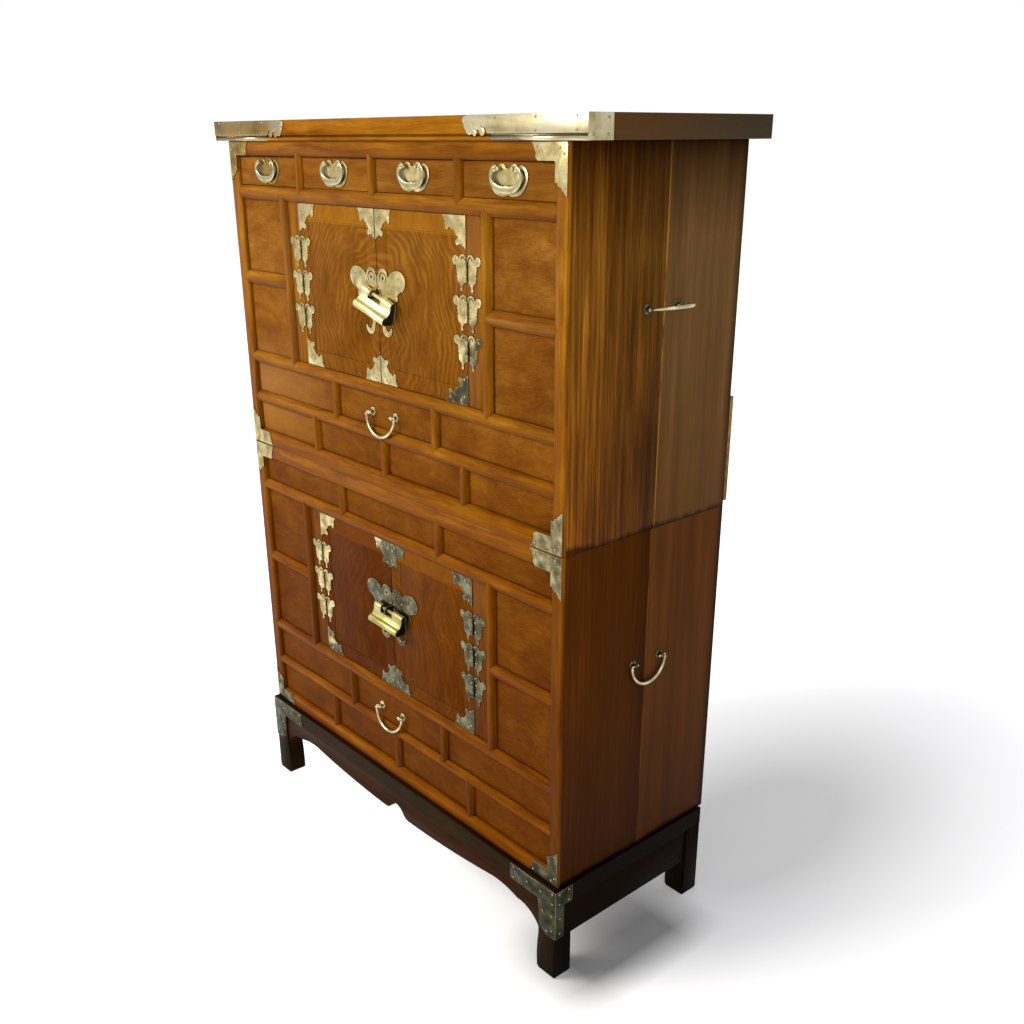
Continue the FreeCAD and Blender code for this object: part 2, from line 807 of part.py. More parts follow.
def bail_spots(levels, top, shift, side_drop):
    """Middle of each pair of posts on a tier: front, left side, right side."""
    low, high = levels[5]
    middle = high - bail_height_share * (high - low)
    depth = front + side_bail_depth_share * body_depth
    return {
        "front": (V(0, -1, 0), V(shift, front + panel_recess, middle)),
        "left": (V(-1, 0, 0), V(-half_width, depth, top - side_drop)),
        "right": (V(1, 0, 0), V(half_width, depth, top - side_drop)),
    }


def build_drawer_box(x0, x1, low, high):
    """A small drawer: front, two sides, back and bottom."""
    x0 += drawer_gap
    x1 -= drawer_gap
    face = front + drawer_recess
    inside = face + drawer_front_thickness
    rear = face + drawer_depth
    floor = low + seat_gap
    top = floor + drawer_wall_height
    return [
        box(x0, x1, face, inside, low + drawer_gap, high - drawer_gap),
        box(x0, x0 + drawer_wall, inside, rear, floor, top),
        box(x1 - drawer_wall, x1, inside, rear, floor, top),
        box(x0 + drawer_wall, x1 - drawer_wall, rear - drawer_wall, rear, floor, top),
        box(x0 + drawer_wall, x1 - drawer_wall, inside, rear - drawer_wall, floor, floor + drawer_bottom),
    ]


def build_pull_plate(x, z):
    """A drawer's bat shaped plate with two eyed studs."""
    face = front + drawer_recess
    path = mirrored(scaled(pull_plate_shares, pull_plate_width, pull_plate_height))
    plate = front_plate(path, x, z - pull_plate_height / 2, 1, 1, face)
    pivot = z + pull_pivot_rise
    studs = []
    for side in (-1, 1):
        stud_x = x + side * pull_stud_place
        stud = Part.makeCylinder(pull_stud_radius, pull_stand_off + pull_stud_radius - seat_gap,
                                 V(stud_x, face, pivot), V(0, -1, 0))
        hole = Part.makeCylinder(pull_pin_radius + running_clearance, 2 * (pull_stud_radius + cut_over),
                                 V(stud_x - pull_stud_radius - cut_over, face - pull_stand_off, pivot),
                                 V(1, 0, 0))
        studs.append(stud.cut(hole))
        plate = plate.cut(Part.makeCylinder(pull_stud_radius, sheet, V(stud_x, face, pivot), V(0, -1, 0)))
    return plate.fuse(studs)


def build_pull(x, z):
    """A drawer's crescent pull, whose curled horns end in two pins."""
    axis_y = front + drawer_recess - pull_stand_off
    low = z + pull_rise - pull_height / 2

    def place(u, v):
        return V(x + u, axis_y - pull_thickness / 2, low + v)
    path = mirrored(scaled(pull_shares, pull_width, pull_height))
    crescent = slab(path, place, V(0, pull_thickness, 0))
    pins = []
    for side in (-1, 1):
        start = V(x + side * pull_pin_place, axis_y, z + pull_pivot_rise)
        length = pull_pin_place - pull_stud_place + pull_stud_radius
        pins.append(Part.makeCylinder(pull_pin_radius, length, start, V(-side, 0, 0)))
    return crescent.fuse(pins)


def build_stand_rails(x1, y0, y1, top):
    """The stand's top frame, mitred at its corners."""
    low = top - stand_rail_height
    corners = [(-x1, y0), (x1, y0), (x1, y1), (-x1, y1)]
    depth = stand_rail_depth
    inset = [(-x1 + depth, y0 + depth), (x1 - depth, y0 + depth),
             (x1 - depth, y1 - depth), (-x1 + depth, y1 - depth)]

    def place(u, v):
        return V(u, v, low)
    rails = []
    for i in range(4):
        j = (i + 1) % 4
        path = [corners[i] + (0.0,), corners[j] + (0.0,), inset[j] + (0.0,), inset[i] + (0.0,)]
        rails.append(slab(path, place, V(0, 0, stand_rail_height)))
    return rails


def build_leg(x, y, side, rear, top):
    """A leg that flares to a bevelled foot; x and y are its outer corner."""
    front_way = 1 if rear else -1

    def place(u, v):
        return V(x - side * u, y, v)
    face = [(0.0, top, 0.0), (0.0, leg_bevel, 0.0), (leg_bevel / 2, 0.0, 0.0),
            (leg_width + leg_flare - leg_bevel, 0.0, 0.0), (leg_width + leg_flare, leg_bevel, leg_curl),
            (leg_width, top / 2, 0.0), (leg_width, top, 0.0)]
    return slab(face, place, V(0, -front_way * leg_depth, 0))


def build_aprons(x1, y0, y1, top):
    """The shaped front apron and the plain ones at the sides and back."""
    x_leg = x1 - leg_width
    y_front = y0 + apron_setback
    y_back = y1 - apron_setback

    def front_place(u, v):
        return V(u, y_front, top + v)
    path = mirrored(scaled(apron_shares, x_leg, -apron_ear_drop))
    front_one = slab(path, front_place, V(0, apron_thickness, 0))
    aprons = [front_one,
              box(-x_leg, x_leg, y_back - apron_thickness, y_back, top - side_apron_drop, top)]
    for side in (-1, 1):
        x_out = side * (x1 - apron_setback)
        x0, x2 = sorted((x_out, x_out - side * apron_thickness))
        aprons.append(box(x0, x2, y0 + leg_depth, y1 - leg_depth, top - side_apron_drop, top))
    return aprons


def build_straps(x1, y0, top):
    """Brass straps round the two front corners of the stand, with a plate down each leg."""
    rail_low = top - stand_rail_height
    strap_low = top - (stand_rail_height + strap_height) / 2
    straps = []
    for side in (-1, 1):
        x_out = side * x1

        def front_place(u, v):
            return V(x_out - side * u, y0 - sheet, v)
        leg_low = rail_low - leg_plate_drop
        path = [(-sheet, strap_low + strap_height, 0.0), (-sheet, leg_low, 0.0),
                (leg_width / 2, leg_low, 0.0), (leg_width - leg_plate_taper / 2, leg_low + leg_plate_taper, 0.0),
                (leg_width, strap_low, 0.0), (strap_length, strap_low, 0.0),
                (strap_length, strap_low + strap_height, 0.0)]
        face = slab(path, front_place, V(0, sheet, 0))
        x2, x3 = sorted((x_out, x_out + side * sheet))
        wrap = box(x2, x3, y0, y0 + strap_return, strap_low, strap_low + strap_height)
        leg_side = box(x2, x3, y0, y0 + leg_depth / 2, leg_low, strap_low)
        straps.append(face.fuse([wrap, leg_side]))
    return straps


def build_top_board():
    """The top board with a groove and bead along its front edge."""
    y0 = front - top_front_overhang
    y1 = back + top_back_overhang
    half = half_width + top_side_overhang
    flat_low = top_thickness - top_edge_flat

    def place(u, v):
        return V(-half, y0 + u, upper_top + v)
    bead_face = top_edge_bead / 2
    path = [(0.0, top_thickness, 0.0), (0.0, flat_low, -top_groove_curl),
            (top_edge_groove, top_edge_bead, 0.0), (bead_face, top_edge_bead, top_bead_curl),
            (bead_face, 0.0, 0.0), (y1 - y0, 0.0, 0.0), (y1 - y0, top_thickness, 0.0)]
    return slab(path, place, V(2 * half, 0, 0))


def build_top_caps():
    """Brass caps on the two front corners of the top board."""
    y0 = front - top_front_overhang
    half = half_width + top_side_overhang
    flat_low = top_thickness - top_edge_flat
    caps = []
    for side in (-1, 1):
        path = scaled(cap_shares, cap_length, top_edge_flat)
        path[0] = (-sheet, 0.0, 0.0)
        path[-1] = (-sheet, top_edge_flat, 0.0)
        face = front_plate(path, side * half, upper_top + flat_low, -side, 1, y0)
        x0, x1 = sorted((side * half, side * (half + sheet)))
        wrap = box(x0, x1, y0, y0 + cap_return, upper_top, upper_top + top_thickness)
        caps.append(face.fuse(wrap))
    return caps


def build_sides(base, top):
    """Side boards of a tier."""
    y0 = front + stile_lip
    return [box(-half_width, side_thickness - half_width, y0, back, base, top),
            box(half_width - side_thickness, half_width, y0, back, base, top)]


def carcass_board(low, thickness, y0):
    """A board across the inside of a tier."""
    inside = half_width - side_thickness
    return box(-inside, inside, y0, back - back_thickness, low, low + thickness)


def build_back(base, top):
    """The back board of a tier, between its sides."""
    inside = half_width - side_thickness
    return box(-inside, inside, back - back_thickness, back, base, top)


os.makedirs("parts", exist_ok=True)
nodes = {}


def keep(name, shapes):
    """Stores a node as one compound of separate solids."""
    nodes[name] = solids(shapes if isinstance(shapes, list) else [shapes])


def build_tier(name, heights, base, lock_place, lock_share, lock_tilt,
               bail_shift, side_drop, side_angle, rows):
    """One tier with its doors, bails and padlock."""
    top = base + sum(heights)
    levels = row_levels(heights, top)
    stiles = build_stiles(base, top)
    rails = build_rails(levels, stiles)
    jambs = build_jambs(levels, rails)
    column_rails = build_column_rails(levels, stiles, jambs)
    uprights = list(jambs)
    panels = build_column_panels(levels)
    for row, count, closed in rows:
        uprights += build_muntins(levels, row, count, rails)
        if closed:
            panels += build_row_panels(levels, row, count)
    keep(name + "_side_boards", build_sides(base, top))
    keep(name + "_stiles", stiles)
    keep(name + "_rails", rails + column_rails)
    keep(name + "_uprights", uprights + build_hinge_posts(levels))
    keep(name + "_front_panels", panels)
    keep(name + "_corner_plates", build_corner_plates(levels, base, top))
    keep(name + "_fixed_hinge_leaves", build_fixed_leaves(levels))
    rod = rod_line(levels, lock_place, lock_share, lock_tilt)
    for side, word in ((-1, "left"), (1, "right")):
        door = name + "_" + word + "_door"
        keep(door + "_frame", build_door_frame(levels, side))
        keep(door + "_panel", build_door_panel(levels, side))
        keep(door + "_fittings", build_door_fittings(levels, side, rod, lock_tilt))
    keep(name + "_padlock_case", build_padlock_case(rod, lock_tilt))
    keep(name + "_padlock_bolt", build_padlock_bolt(rod, lock_tilt))
    posts = []
    for word, (outward, origin) in bail_spots(levels, top, bail_shift, side_drop).items():
        sizes = front_bail_sizes if word == "front" else side_bail_sizes
        angle = front_bail_lean if word == "front" else side_angle
        posts += bail_posts(outward, origin, sizes)
        keep(name + "_" + word + "_bail", build_bail(outward, origin, sizes, angle))
    keep(name + "_bail_posts", posts)
    return levels


lower_levels = build_tier("lower", lower_heights, lower_base, lower_lock_place, lower_lock_height_share,
                          lower_lock_tilt, lower_bail_shift, lower_side_bail_drop, 0, lower_rows)
upper_levels = build_tier("upper", upper_heights, upper_base, upper_lock_place, upper_lock_height_share,
                          upper_lock_tilt, 0, upper_side_bail_drop, raised_bail_angle, upper_rows)

frame_back = front + frame_depth
keep("lower_boards", [carcass_board(lower_base, board_thickness, frame_back),
                      carcass_board(lower_top - board_thickness, board_thickness, frame_back)])
shelf_top = upper_levels[1][0]
partitions = [box(x - partition_thickness / 2, x + partition_thickness / 2, frame_back,
                  back - back_thickness, shelf_top, upper_top) for x in muntin_places(drawer_count)]
keep("upper_boards", [carcass_board(upper_base, board_thickness, frame_back),
                      carcass_board(shelf_top - board_thickness, board_thickness, frame_back)] + partitions)
keep("lower_back_board", build_back(lower_base, lower_top))
plank = box(-half_width, half_width, back, back + plank_thickness, upper_base + plank_rise,
            upper_base + plank_rise + plank_height)
keep("upper_back_boards", [build_back(upper_base, upper_top), plank])
keep("top_board", build_top_board())
keep("top_board_caps", build_top_caps())

opening = (2 * inner_half - (drawer_count - 1) * muntin_width) / drawer_count
for index in range(drawer_count):
    x0 = index * (opening + muntin_width) - inner_half
    x1 = x0 + opening
    low, high = upper_levels[1]
    name = "drawer_%d" % (index + 1)
    keep(name + "_box", build_drawer_box(x0, x1, low, high))
    keep(name + "_plate", build_pull_plate((x0 + x1) / 2, (low + high) / 2))
    keep(name + "_pull", build_pull((x0 + x1) / 2, (low + high) / 2))

stand_x = half_width + stand_side
stand_y0 = front - stand_front
stand_y1 = back + stand_back
leg_top = stand_height - stand_rail_height
keep("stand_frame_rails", build_stand_rails(stand_x, stand_y0, stand_y1, stand_height))
keep("stand_legs", [build_leg(side * stand_x, y, side, rear, leg_top)
                    for side in (-1, 1) for y, rear in ((stand_y0, False), (stand_y1, True))])
keep("stand_aprons", build_aprons(stand_x, stand_y0, stand_y1, leg_top))
keep("stand_corner_straps", build_straps(stand_x, stand_y0, stand_height))

for node, shape in nodes.items():
    shape.exportStep("parts/" + node + ".step")
print(len(nodes), "nodes")
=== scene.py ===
import math

import bmesh
import bpy
import numpy as np
from mathutils import Matrix, Vector


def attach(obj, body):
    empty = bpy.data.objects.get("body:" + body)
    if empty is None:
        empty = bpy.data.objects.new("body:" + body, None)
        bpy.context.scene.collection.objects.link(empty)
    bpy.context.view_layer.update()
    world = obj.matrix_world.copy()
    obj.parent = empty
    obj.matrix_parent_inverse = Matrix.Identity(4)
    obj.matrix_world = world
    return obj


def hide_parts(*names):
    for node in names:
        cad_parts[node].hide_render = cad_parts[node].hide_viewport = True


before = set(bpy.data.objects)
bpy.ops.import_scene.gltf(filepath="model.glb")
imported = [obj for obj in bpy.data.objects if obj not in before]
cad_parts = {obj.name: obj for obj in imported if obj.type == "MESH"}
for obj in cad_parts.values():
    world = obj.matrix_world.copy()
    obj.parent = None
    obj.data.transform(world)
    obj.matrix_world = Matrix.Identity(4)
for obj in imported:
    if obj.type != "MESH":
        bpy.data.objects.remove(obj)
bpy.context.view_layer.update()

# A two tier chest: wood and brass finishes for its solids, and the small fittings on them.
# Metres, +Z up, the front faces -Y. The sizes repeat the ones that the solids were made from.

mm = 0.001
tiers = ("lower", "upper")
# Half widths of the tiers, the top board and the stand
body_half = 450 * mm
top_half = 488 * mm
stand_half = 455 * mm
# The doors' hinge pins, from the middle
hinge_line = 232 * mm
front = -178.25 * mm
door_face = front + 7 * mm
drawer_face = front + 6 * mm
tier_base = {"lower": 181.3 * mm, "upper": 768.6 * mm}
tier_top = {"lower": 768.3 * mm, "upper": 1335.6 * mm}
door_row = {"lower": (375.3 * mm, 667.3 * mm), "upper": (953.6 * mm, 1235.6 * mm)}
drawer_row = (1259.6 * mm, 1309.6 * mm)
lock_height = {"lower": 535.9 * mm, "upper": 1097.984 * mm}
# Heights between which a pattern changes from one tier to the other
seam = (768 * mm, 769 * mm)
plate_thick = 1.2 * mm


def linear(code):
    """A linear RGBA colour from an sRGB hex value."""
    parts = np.array([int(code[i:i + 2], 16) / 255 for i in (1, 3, 5)])
    straight = np.where(parts <= 0.04045, parts / 12.92, ((parts + 0.055) / 1.055) ** 2.4)
    return (*straight, 1.0)


def add(tree, kind, inputs=(), **settings):
    """A new node with its settings, and its sockets set to values or linked to other sockets."""
    node = tree.nodes.new(kind)
    for name, value in settings.items():
        setattr(node, name, value)
    for name, value in dict(inputs).items():
        if isinstance(value, bpy.types.NodeSocket):
            tree.links.new(value, node.inputs[name])
        else:
            node.inputs[name].default_value = value
    return node


def ramp(tree, value, stops):
    """Colour that runs through hex stops, given as (place, hex), as value goes from 0 to 1."""
    node = add(tree, "ShaderNodeValToRGB", {"Fac": value})
    while len(node.color_ramp.elements) < len(stops):
        node.color_ramp.elements.new(0.5)
    for element, (place, code) in zip(node.color_ramp.elements, stops):
        element.position = place
        element.color = linear(code)
    return node.outputs["Color"]


def span(tree, value, low, high, start=0.0, end=1.0):
    """Value carried from low..high to start..end, and held there."""
    return add(tree, "ShaderNodeMapRange", {"Value": value, "From Min": low, "From Max": high,
                                            "To Min": start, "To Max": end}).outputs["Result"]


def blend(tree, kind, factor, first, second):
    """Second colour laid over the first one."""
    node = add(tree, "ShaderNodeMix", {"Factor": factor}, data_type="RGBA", blend_type=kind)
    for socket, value in ((node.inputs[6], first), (node.inputs[7], second)):
        if isinstance(value, bpy.types.NodeSocket):
            tree.links.new(value, socket)
        else:
            socket.default_value = linear(value)
    return node.outputs[2]


def new_material(name):
    """An empty material with its output and a Principled shader."""
    material = bpy.data.materials.new(name)
    material.use_nodes = True
    tree = material.node_tree
    tree.nodes.clear()
    shader = add(tree, "ShaderNodeBsdfPrincipled")
    add(tree, "ShaderNodeOutputMaterial", {"Surface": shader.outputs["BSDF"]})
    return material, tree, shader


def own_place(tree):
    """Object coordinates, and the same moved by each solid's own tone, so that no two pieces show the
    same grain."""
    place = add(tree, "ShaderNodeTexCoord").outputs["Object"]
    tone = add(tree, "ShaderNodeAttribute", attribute_name="piece_tone").outputs["Fac"]
    away = add(tree, "ShaderNodeVectorMath", {0: (3.1, 5.3, 4.7)}, operation="SCALE")
    tree.links.new(tone, away.inputs["Scale"])
    moved = add(tree, "ShaderNodeVectorMath", {0: place, 1: away.outputs[0]}, operation="ADD").outputs[0]
    return place, moved, tone


# What the wood's colour is multiplied by from the foot of the chest to its top: darker below, partly
# by ageing and partly as painted shade where the light falls off, and painted shade again at the top
age_and_falloff_shade = ((0.0, "#C2A83C"), (0.27, "#C4A848"), (0.55, "#DCC87C"), (0.88, "#FFFFFF"), (1.0, "#E8DAB4"))
# The same with painted light on bars that lie, as if they caught more light from above, and with
# painted shade on bars that stand
level_age_and_painted_light = ((0.0, "#D4B650"), (0.27, "#D2B45A"), (0.55, "#E4CE84"), (0.88, "#FFFFFF"), (1.0, "#E4D4AC"))
upright_age_and_painted_shade = ((0.0, "#AC9034"), (0.27, "#B0943E"), (0.55, "#DAC478"), (0.88, "#FFFFFF"), (1.0, "#E8DAB4"))


def noise(tree, vector, size, detail=2.0, rough=0.5):
    """Noise with lumps of a size in mm, or of three sizes along X, Y and Z."""
    sizes = size if isinstance(size, tuple) else (size, size, size)
    scaled = add(tree, "ShaderNodeMapping",
                 {"Vector": vector, "Scale": [1 / (s * mm) for s in sizes]}).outputs[0]
    return add(tree, "ShaderNodeTexNoise",
               {"Vector": scaled, "Scale": 1.0, "Detail": detail, "Roughness": rough})


def bend(tree, vector, size, reach):
    """A place pushed about by up to reach mm, in lumps of a size in mm."""
    lumps = noise(tree, vector, size).outputs["Color"]
    push = add(tree, "ShaderNodeVectorMath", {0: lumps, 1: (0.5, 0.5, 0.5)}, operation="SUBTRACT").outputs[0]
    push = add(tree, "ShaderNodeVectorMath", {0: push, "Scale": 2 * reach * mm}, operation="SCALE").outputs[0]
    return add(tree, "ShaderNodeVectorMath", {0: vector, 1: push}, operation="ADD").outputs[0]


def sums(tree, first, second, factor=1.0):
    """First plus second times factor."""
    return add(tree, "ShaderNodeMath", {0: second, 1: factor, 2: first}, operation="MULTIPLY_ADD").outputs[0]


def timber(name, grain, stops, streak=10.0, length=180.0, wander=10.0, pore=1.6, contrast=0.22,
           tone_spread=0.08, rough=(0.36, 0.5), figure=None, corner=(5.0, 0.7), sheen=0.02, fade=age_and_falloff_shade):
    """Wood with its grain along X, Y or Z. Streak, length, wander and pore are sizes in mm. Figure lays more
    over the colour, corner is how far in mm and how strongly painted shade, with some dirt, darkens its
    hollows, sheen is the specular level, and fade is what the colour is multiplied by from foot to top."""
    material, tree, shader = new_material(name)
    place, moved, tone = own_place(tree)
    bent = bend(tree, moved, 140.0, wander)

    def along(width, run):
        return {"X": (run, width, width), "Y": (width, run, width), "Z": (width, width, run)}[grain]
    streaks = noise(tree, bent, along(streak, length), 4.0, 0.6).outputs["Fac"]
    fibres = noise(tree, bent, along(pore, pore * 24)).outputs["Fac"]
    cloud = noise(tree, moved, 90.0).outputs["Fac"]
    colour = ramp(tree, span(tree, streaks, 0.28, 0.72), stops)
    line = ramp(tree, span(tree, fibres, 0.35, 0.62), ((0.0, "#7A6248"), (1.0, "#FFFFFF")))
    colour = blend(tree, "MULTIPLY", contrast, colour, line)
    patch = ramp(tree, span(tree, cloud, 0.3, 0.7), ((0.0, "#C8B090"), (1.0, "#FFFFFF")))
    colour = blend(tree, "MULTIPLY", 0.7, colour, patch)
    value = span(tree, tone, 0.0, 1.0, 1 - tone_spread, 1 + tone_spread)
    colour = add(tree, "ShaderNodeHueSaturation", {"Color": colour, "Value": value}).outputs["Color"]
    if figure:
        colour = figure(tree, place, colour, streaks)
    # The fade from foot to top: ageing, and for most woods painted shade and light as well
    height = add(tree, "ShaderNodeSeparateXYZ", {0: place}).outputs["Z"]
    aged_and_shaded = ramp(tree, span(tree, height, 0.2, 1.3), fade)
    colour = blend(tree, "MULTIPLY", 1.0, colour, aged_and_shaded)
    # Painted shade, with some dirt, in the hollows: the dark lines under the rails and round the panels
    hollow = add(tree, "ShaderNodeAmbientOcclusion", {"Distance": corner[0] * mm}, samples=6).outputs["AO"]
    shade = ramp(tree, span(tree, hollow, 0.4, 0.95), ((0.0, "#4A2A0C"), (1.0, "#FFFFFF")))
    colour = blend(tree, "MULTIPLY", corner[1], colour, shade)
    tree.links.new(colour, shader.inputs["Base Color"])
    tree.links.new(span(tree, streaks, 0.3, 0.7, rough[0], rough[1]), shader.inputs["Roughness"])
    shader.inputs["Specular IOR Level"].default_value = sheen
    shader.inputs["Specular Tint"].default_value = linear("#F2C070")
    bump = add(tree, "ShaderNodeBump", {"Height": fibres, "Strength": 0.25, "Distance": 0.3 * mm})
    tree.links.new(bump.outputs["Normal"], shader.inputs["Normal"])
    return material


def shaded_half(tree, place, colour, streaks):
    """A bar whose lower or left half is painted in shade, duller and pinkish, with an uneven border."""
    across = add(tree, "ShaderNodeAttribute", attribute_name="piece_across").outputs["Fac"]
    side = span(tree, sums(tree, across, streaks, 0.35), 0.42, 0.86)
    dimmed = blend(tree, "MIX", 0.55, colour, "#7E4F2C")
    return blend(tree, "MIX", side, dimmed, colour)


def flame(tree, place, colour, streaks):
    """Crotch figure: golden lines nested like arches round the seam between two doors, low on each
    door. A line lies where the distance from there, pushed about by noise, is a whole number of
    spacings."""
    spacing = 15 * mm
    seats = (470 * mm, 1040 * mm)
    door_rail = 31 * mm
    wavy = bend(tree, bend(tree, place, 110.0, 46.0), 36.0, 8.0)
    flat = add(tree, "ShaderNodeVectorMath", {0: wavy, 1: (1.25, 0.0, 1.0)}, operation="MULTIPLY").outputs[0]
    parts = add(tree, "ShaderNodeSeparateXYZ", {0: place})
    height = parts.outputs["Z"]
    upper = span(tree, height, 800 * mm, 801 * mm)
    middle = add(tree, "ShaderNodeCombineXYZ", {"Z": span(tree, upper, 0.0, 1.0, *seats)}).outputs[0]
    reach = add(tree, "ShaderNodeVectorMath", {0: flat, 1: middle}, operation="DISTANCE").outputs["Value"]
    phase = add(tree, "ShaderNodeMath", {0: reach, 1: 2 * math.pi / spacing}, operation="MULTIPLY").outputs[0]
    wave = add(tree, "ShaderNodeMath", {0: phase}, operation="SINE").outputs[0]
    band = span(tree, sums(tree, wave, noise(tree, place, 40.0).outputs["Fac"], 2.4), 1.0, 2.4)
    shown = span(tree, noise(tree, place, 80.0).outputs["Fac"], 0.36, 0.6, 0.1, 0.52)
    clear = span(tree, upper, 0.0, 1.0, 0.6, 1.0)
    shown = add(tree, "ShaderNodeMath", {0: shown, 1: clear}, operation="MULTIPLY").outputs[0]
    lit = blend(tree, "MIX", band, "#7C4C12", "#A26E20")
    colour = blend(tree, "MIX", shown, colour, lit)
    top = span(tree, upper, 0.0, 1.0, *(door_row[tier][1] - door_rail for tier in tiers))
    bar = span(tree, sums(tree, height, top, -1.0), 0.0, 1 * mm, 0.0, 0.65)
    colour = blend(tree, "MIX", bar, colour, blend(tree, "MIX", streaks, "#8E5A14", "#B07A22"))
    left = span(tree, sums(tree, parts.outputs["X"], upper, 1.0), -2 * mm, 2 * mm, 1.0, 0.0)
    return blend(tree, "MULTIPLY", left, colour, "#DECDAA")


def curl(tree, place, colour, streaks):
    """Soft curled lines about 9 mm apart, where noise pushed about by noise crosses levels, and a paler
    patch at the left below the upper doors."""
    pale_patch_height = 860 * mm
    twisted = bend(tree, place, 40.0, 26.0)
    level = noise(tree, twisted, (70.0, 70.0, 26.0)).outputs["Fac"]
    phase = add(tree, "ShaderNodeMath", {0: level, 1: 60.0}, operation="MULTIPLY").outputs[0]
    wave = add(tree, "ShaderNodeMath", {0: phase}, operation="SINE").outputs[0]
    lines = ramp(tree, span(tree, wave, -1.0, 1.0), ((0.0, "#CDBB9C"), (1.0, "#FFFFFF")))
    colour = blend(tree, "MULTIPLY", 0.28, colour, lines)
    parts = add(tree, "ShaderNodeSeparateXYZ", {0: place})
    level = add(tree, "ShaderNodeMath", {0: parts.outputs["Z"], 1: pale_patch_height},
                operation="SUBTRACT").outputs[0]
    level = add(tree, "ShaderNodeMath", {0: level}, operation="ABSOLUTE").outputs[0]
    near = span(tree, level, 40 * mm, 140 * mm, 0.4, 0.0)
    pale_patch = span(tree, parts.outputs["X"], -0.4, -0.12, 1.0, 0.0)
    pale_patch = add(tree, "ShaderNodeMath", {0: pale_patch, 1: near}, operation="MULTIPLY").outputs[0]
    return blend(tree, "MIX", pale_patch, colour, "#DDA878")


def boards(tree, place, colour, streaks):
    """Two boards glued edge to edge: orange hair lines close to the front with duller patches over them,
    the rear board smoother and greyer, a pale thin line of glue between them, and everything darker
    along the back and at the foot of each tier, and under the top, where a shadow of the top board is
    painted in with some dirt."""
    parts = add(tree, "ShaderNodeSeparateXYZ", {0: place})
    depth, height = parts.outputs["Y"], parts.outputs["Z"]
    upper = span(tree, height, *seam)
    joint = span(tree, upper, 0.0, 1.0, front + 192 * mm, front + 198 * mm)
    away = sums(tree, depth, joint, -1.0)
    broad = noise(tree, place, (60.0, 60.0, 300.0)).outputs["Fac"]
    hair = noise(tree, place, (3.2, 3.2, 170.0), 3.0, 0.6).outputs["Fac"]
    dark_hair = ramp(tree, span(tree, hair, 0.34, 0.56), ((0.0, "#6C5838"), (1.0, "#FFFFFF")))
    colour = blend(tree, "MULTIPLY", span(tree, upper, 0.0, 1.0, 0.2, 0.6), colour, dark_hair)
    close, far = (span(tree, upper, 0.0, 1.0, front + low * mm, front + high * mm)
                  for low, high in ((200, 90), (270, 190)))
    warm = span(tree, sums(tree, depth, broad, 0.12), close, far, 0.9, 0.0)
    glowing = ramp(tree, span(tree, sums(tree, hair, broad, 0.5), 0.62, 0.95),
                   ((0.0, "#784A14"), (0.5, "#9C621C"), (1.0, "#D48E2C")))
    glowing = blend(tree, "MIX", span(tree, upper, 0.0, 1.0, 0.7, 0.0), glowing, "#8C5A1C")
    colour = blend(tree, "MIX", warm, colour, glowing)
    patch = sums(tree, noise(tree, place, (60.0, 38.0, 260.0), 3.0, 0.65).outputs["Fac"], upper, 0.4)
    colour = blend(tree, "MULTIPLY", span(tree, patch, 0.84, 1.02, 0.0, 0.4), colour, "#7C7050")
    rear = ramp(tree, span(tree, streaks, 0.25, 0.75), ((0.0, "#694C28"), (1.0, "#8B6840")))
    colour = blend(tree, "MIX", span(tree, away, -1 * mm, 1 * mm, 0.0, 0.7), colour, rear)
    glow = add(tree, "ShaderNodeMath", {0: away}, operation="ABSOLUTE").outputs[0]
    glue = span(tree, glow, 0.6 * mm, 1.5 * mm, 0.9, 0.0)
    worn = span(tree, noise(tree, place, 60.0).outputs["Fac"], 0.32, 0.46)
    glue = add(tree, "ShaderNodeMath", {0: glue, 1: worn}, operation="MULTIPLY").outputs[0]
    colour = blend(tree, "MIX", glue, colour, "#C08A30")
    duller = blend(tree, "MIX", span(tree, away, 0.0, 1 * mm), "#927C3C", "#CCAA90")
    colour = blend(tree, "MULTIPLY", span(tree, upper, 0.0, 1.0, 1.0, 0.0), colour, duller)
    # A painted shadow of the top board, with some dirt, along the top of the upper sides
    top = span(tree, sums(tree, height, broad, 0.1), 1.25, 1.385)
    colour = blend(tree, "MULTIPLY", top, colour, "#7C7062")
    back = span(tree, sums(tree, depth, broad, 0.02), 0.185, 0.2)
    colour = blend(tree, "MULTIPLY", back, colour, "#A09280")
    foot = span(tree, upper, 0.0, 1.0, *(tier_base[tier] for tier in tiers))
    foot = sums(tree, sums(tree, height, foot, -1.0), broad, -0.03)
    return blend(tree, "MULTIPLY", span(tree, foot, -12 * mm, -4 * mm, 0.85, 0.0), colour, "#3E2E20")


def dark_ends(tree, place, colour, streaks):
    """A board whose end grain has gone nearly black, browner in front than behind."""
    parts = add(tree, "ShaderNodeSeparateXYZ", {0: place})
    reach = add(tree, "ShaderNodeMath", {0: parts.outputs["X"]}, operation="ABSOLUTE").outputs[0]
    end = span(tree, reach, top_half - 2.5 * mm, top_half - 0.5 * mm)
    behind = span(tree, sums(tree, parts.outputs["Y"], streaks, 0.1), -0.08, 0.2)
    return blend(tree, "MIX", end, colour, blend(tree, "MIX", behind, "#5C4024", "#463D30"))


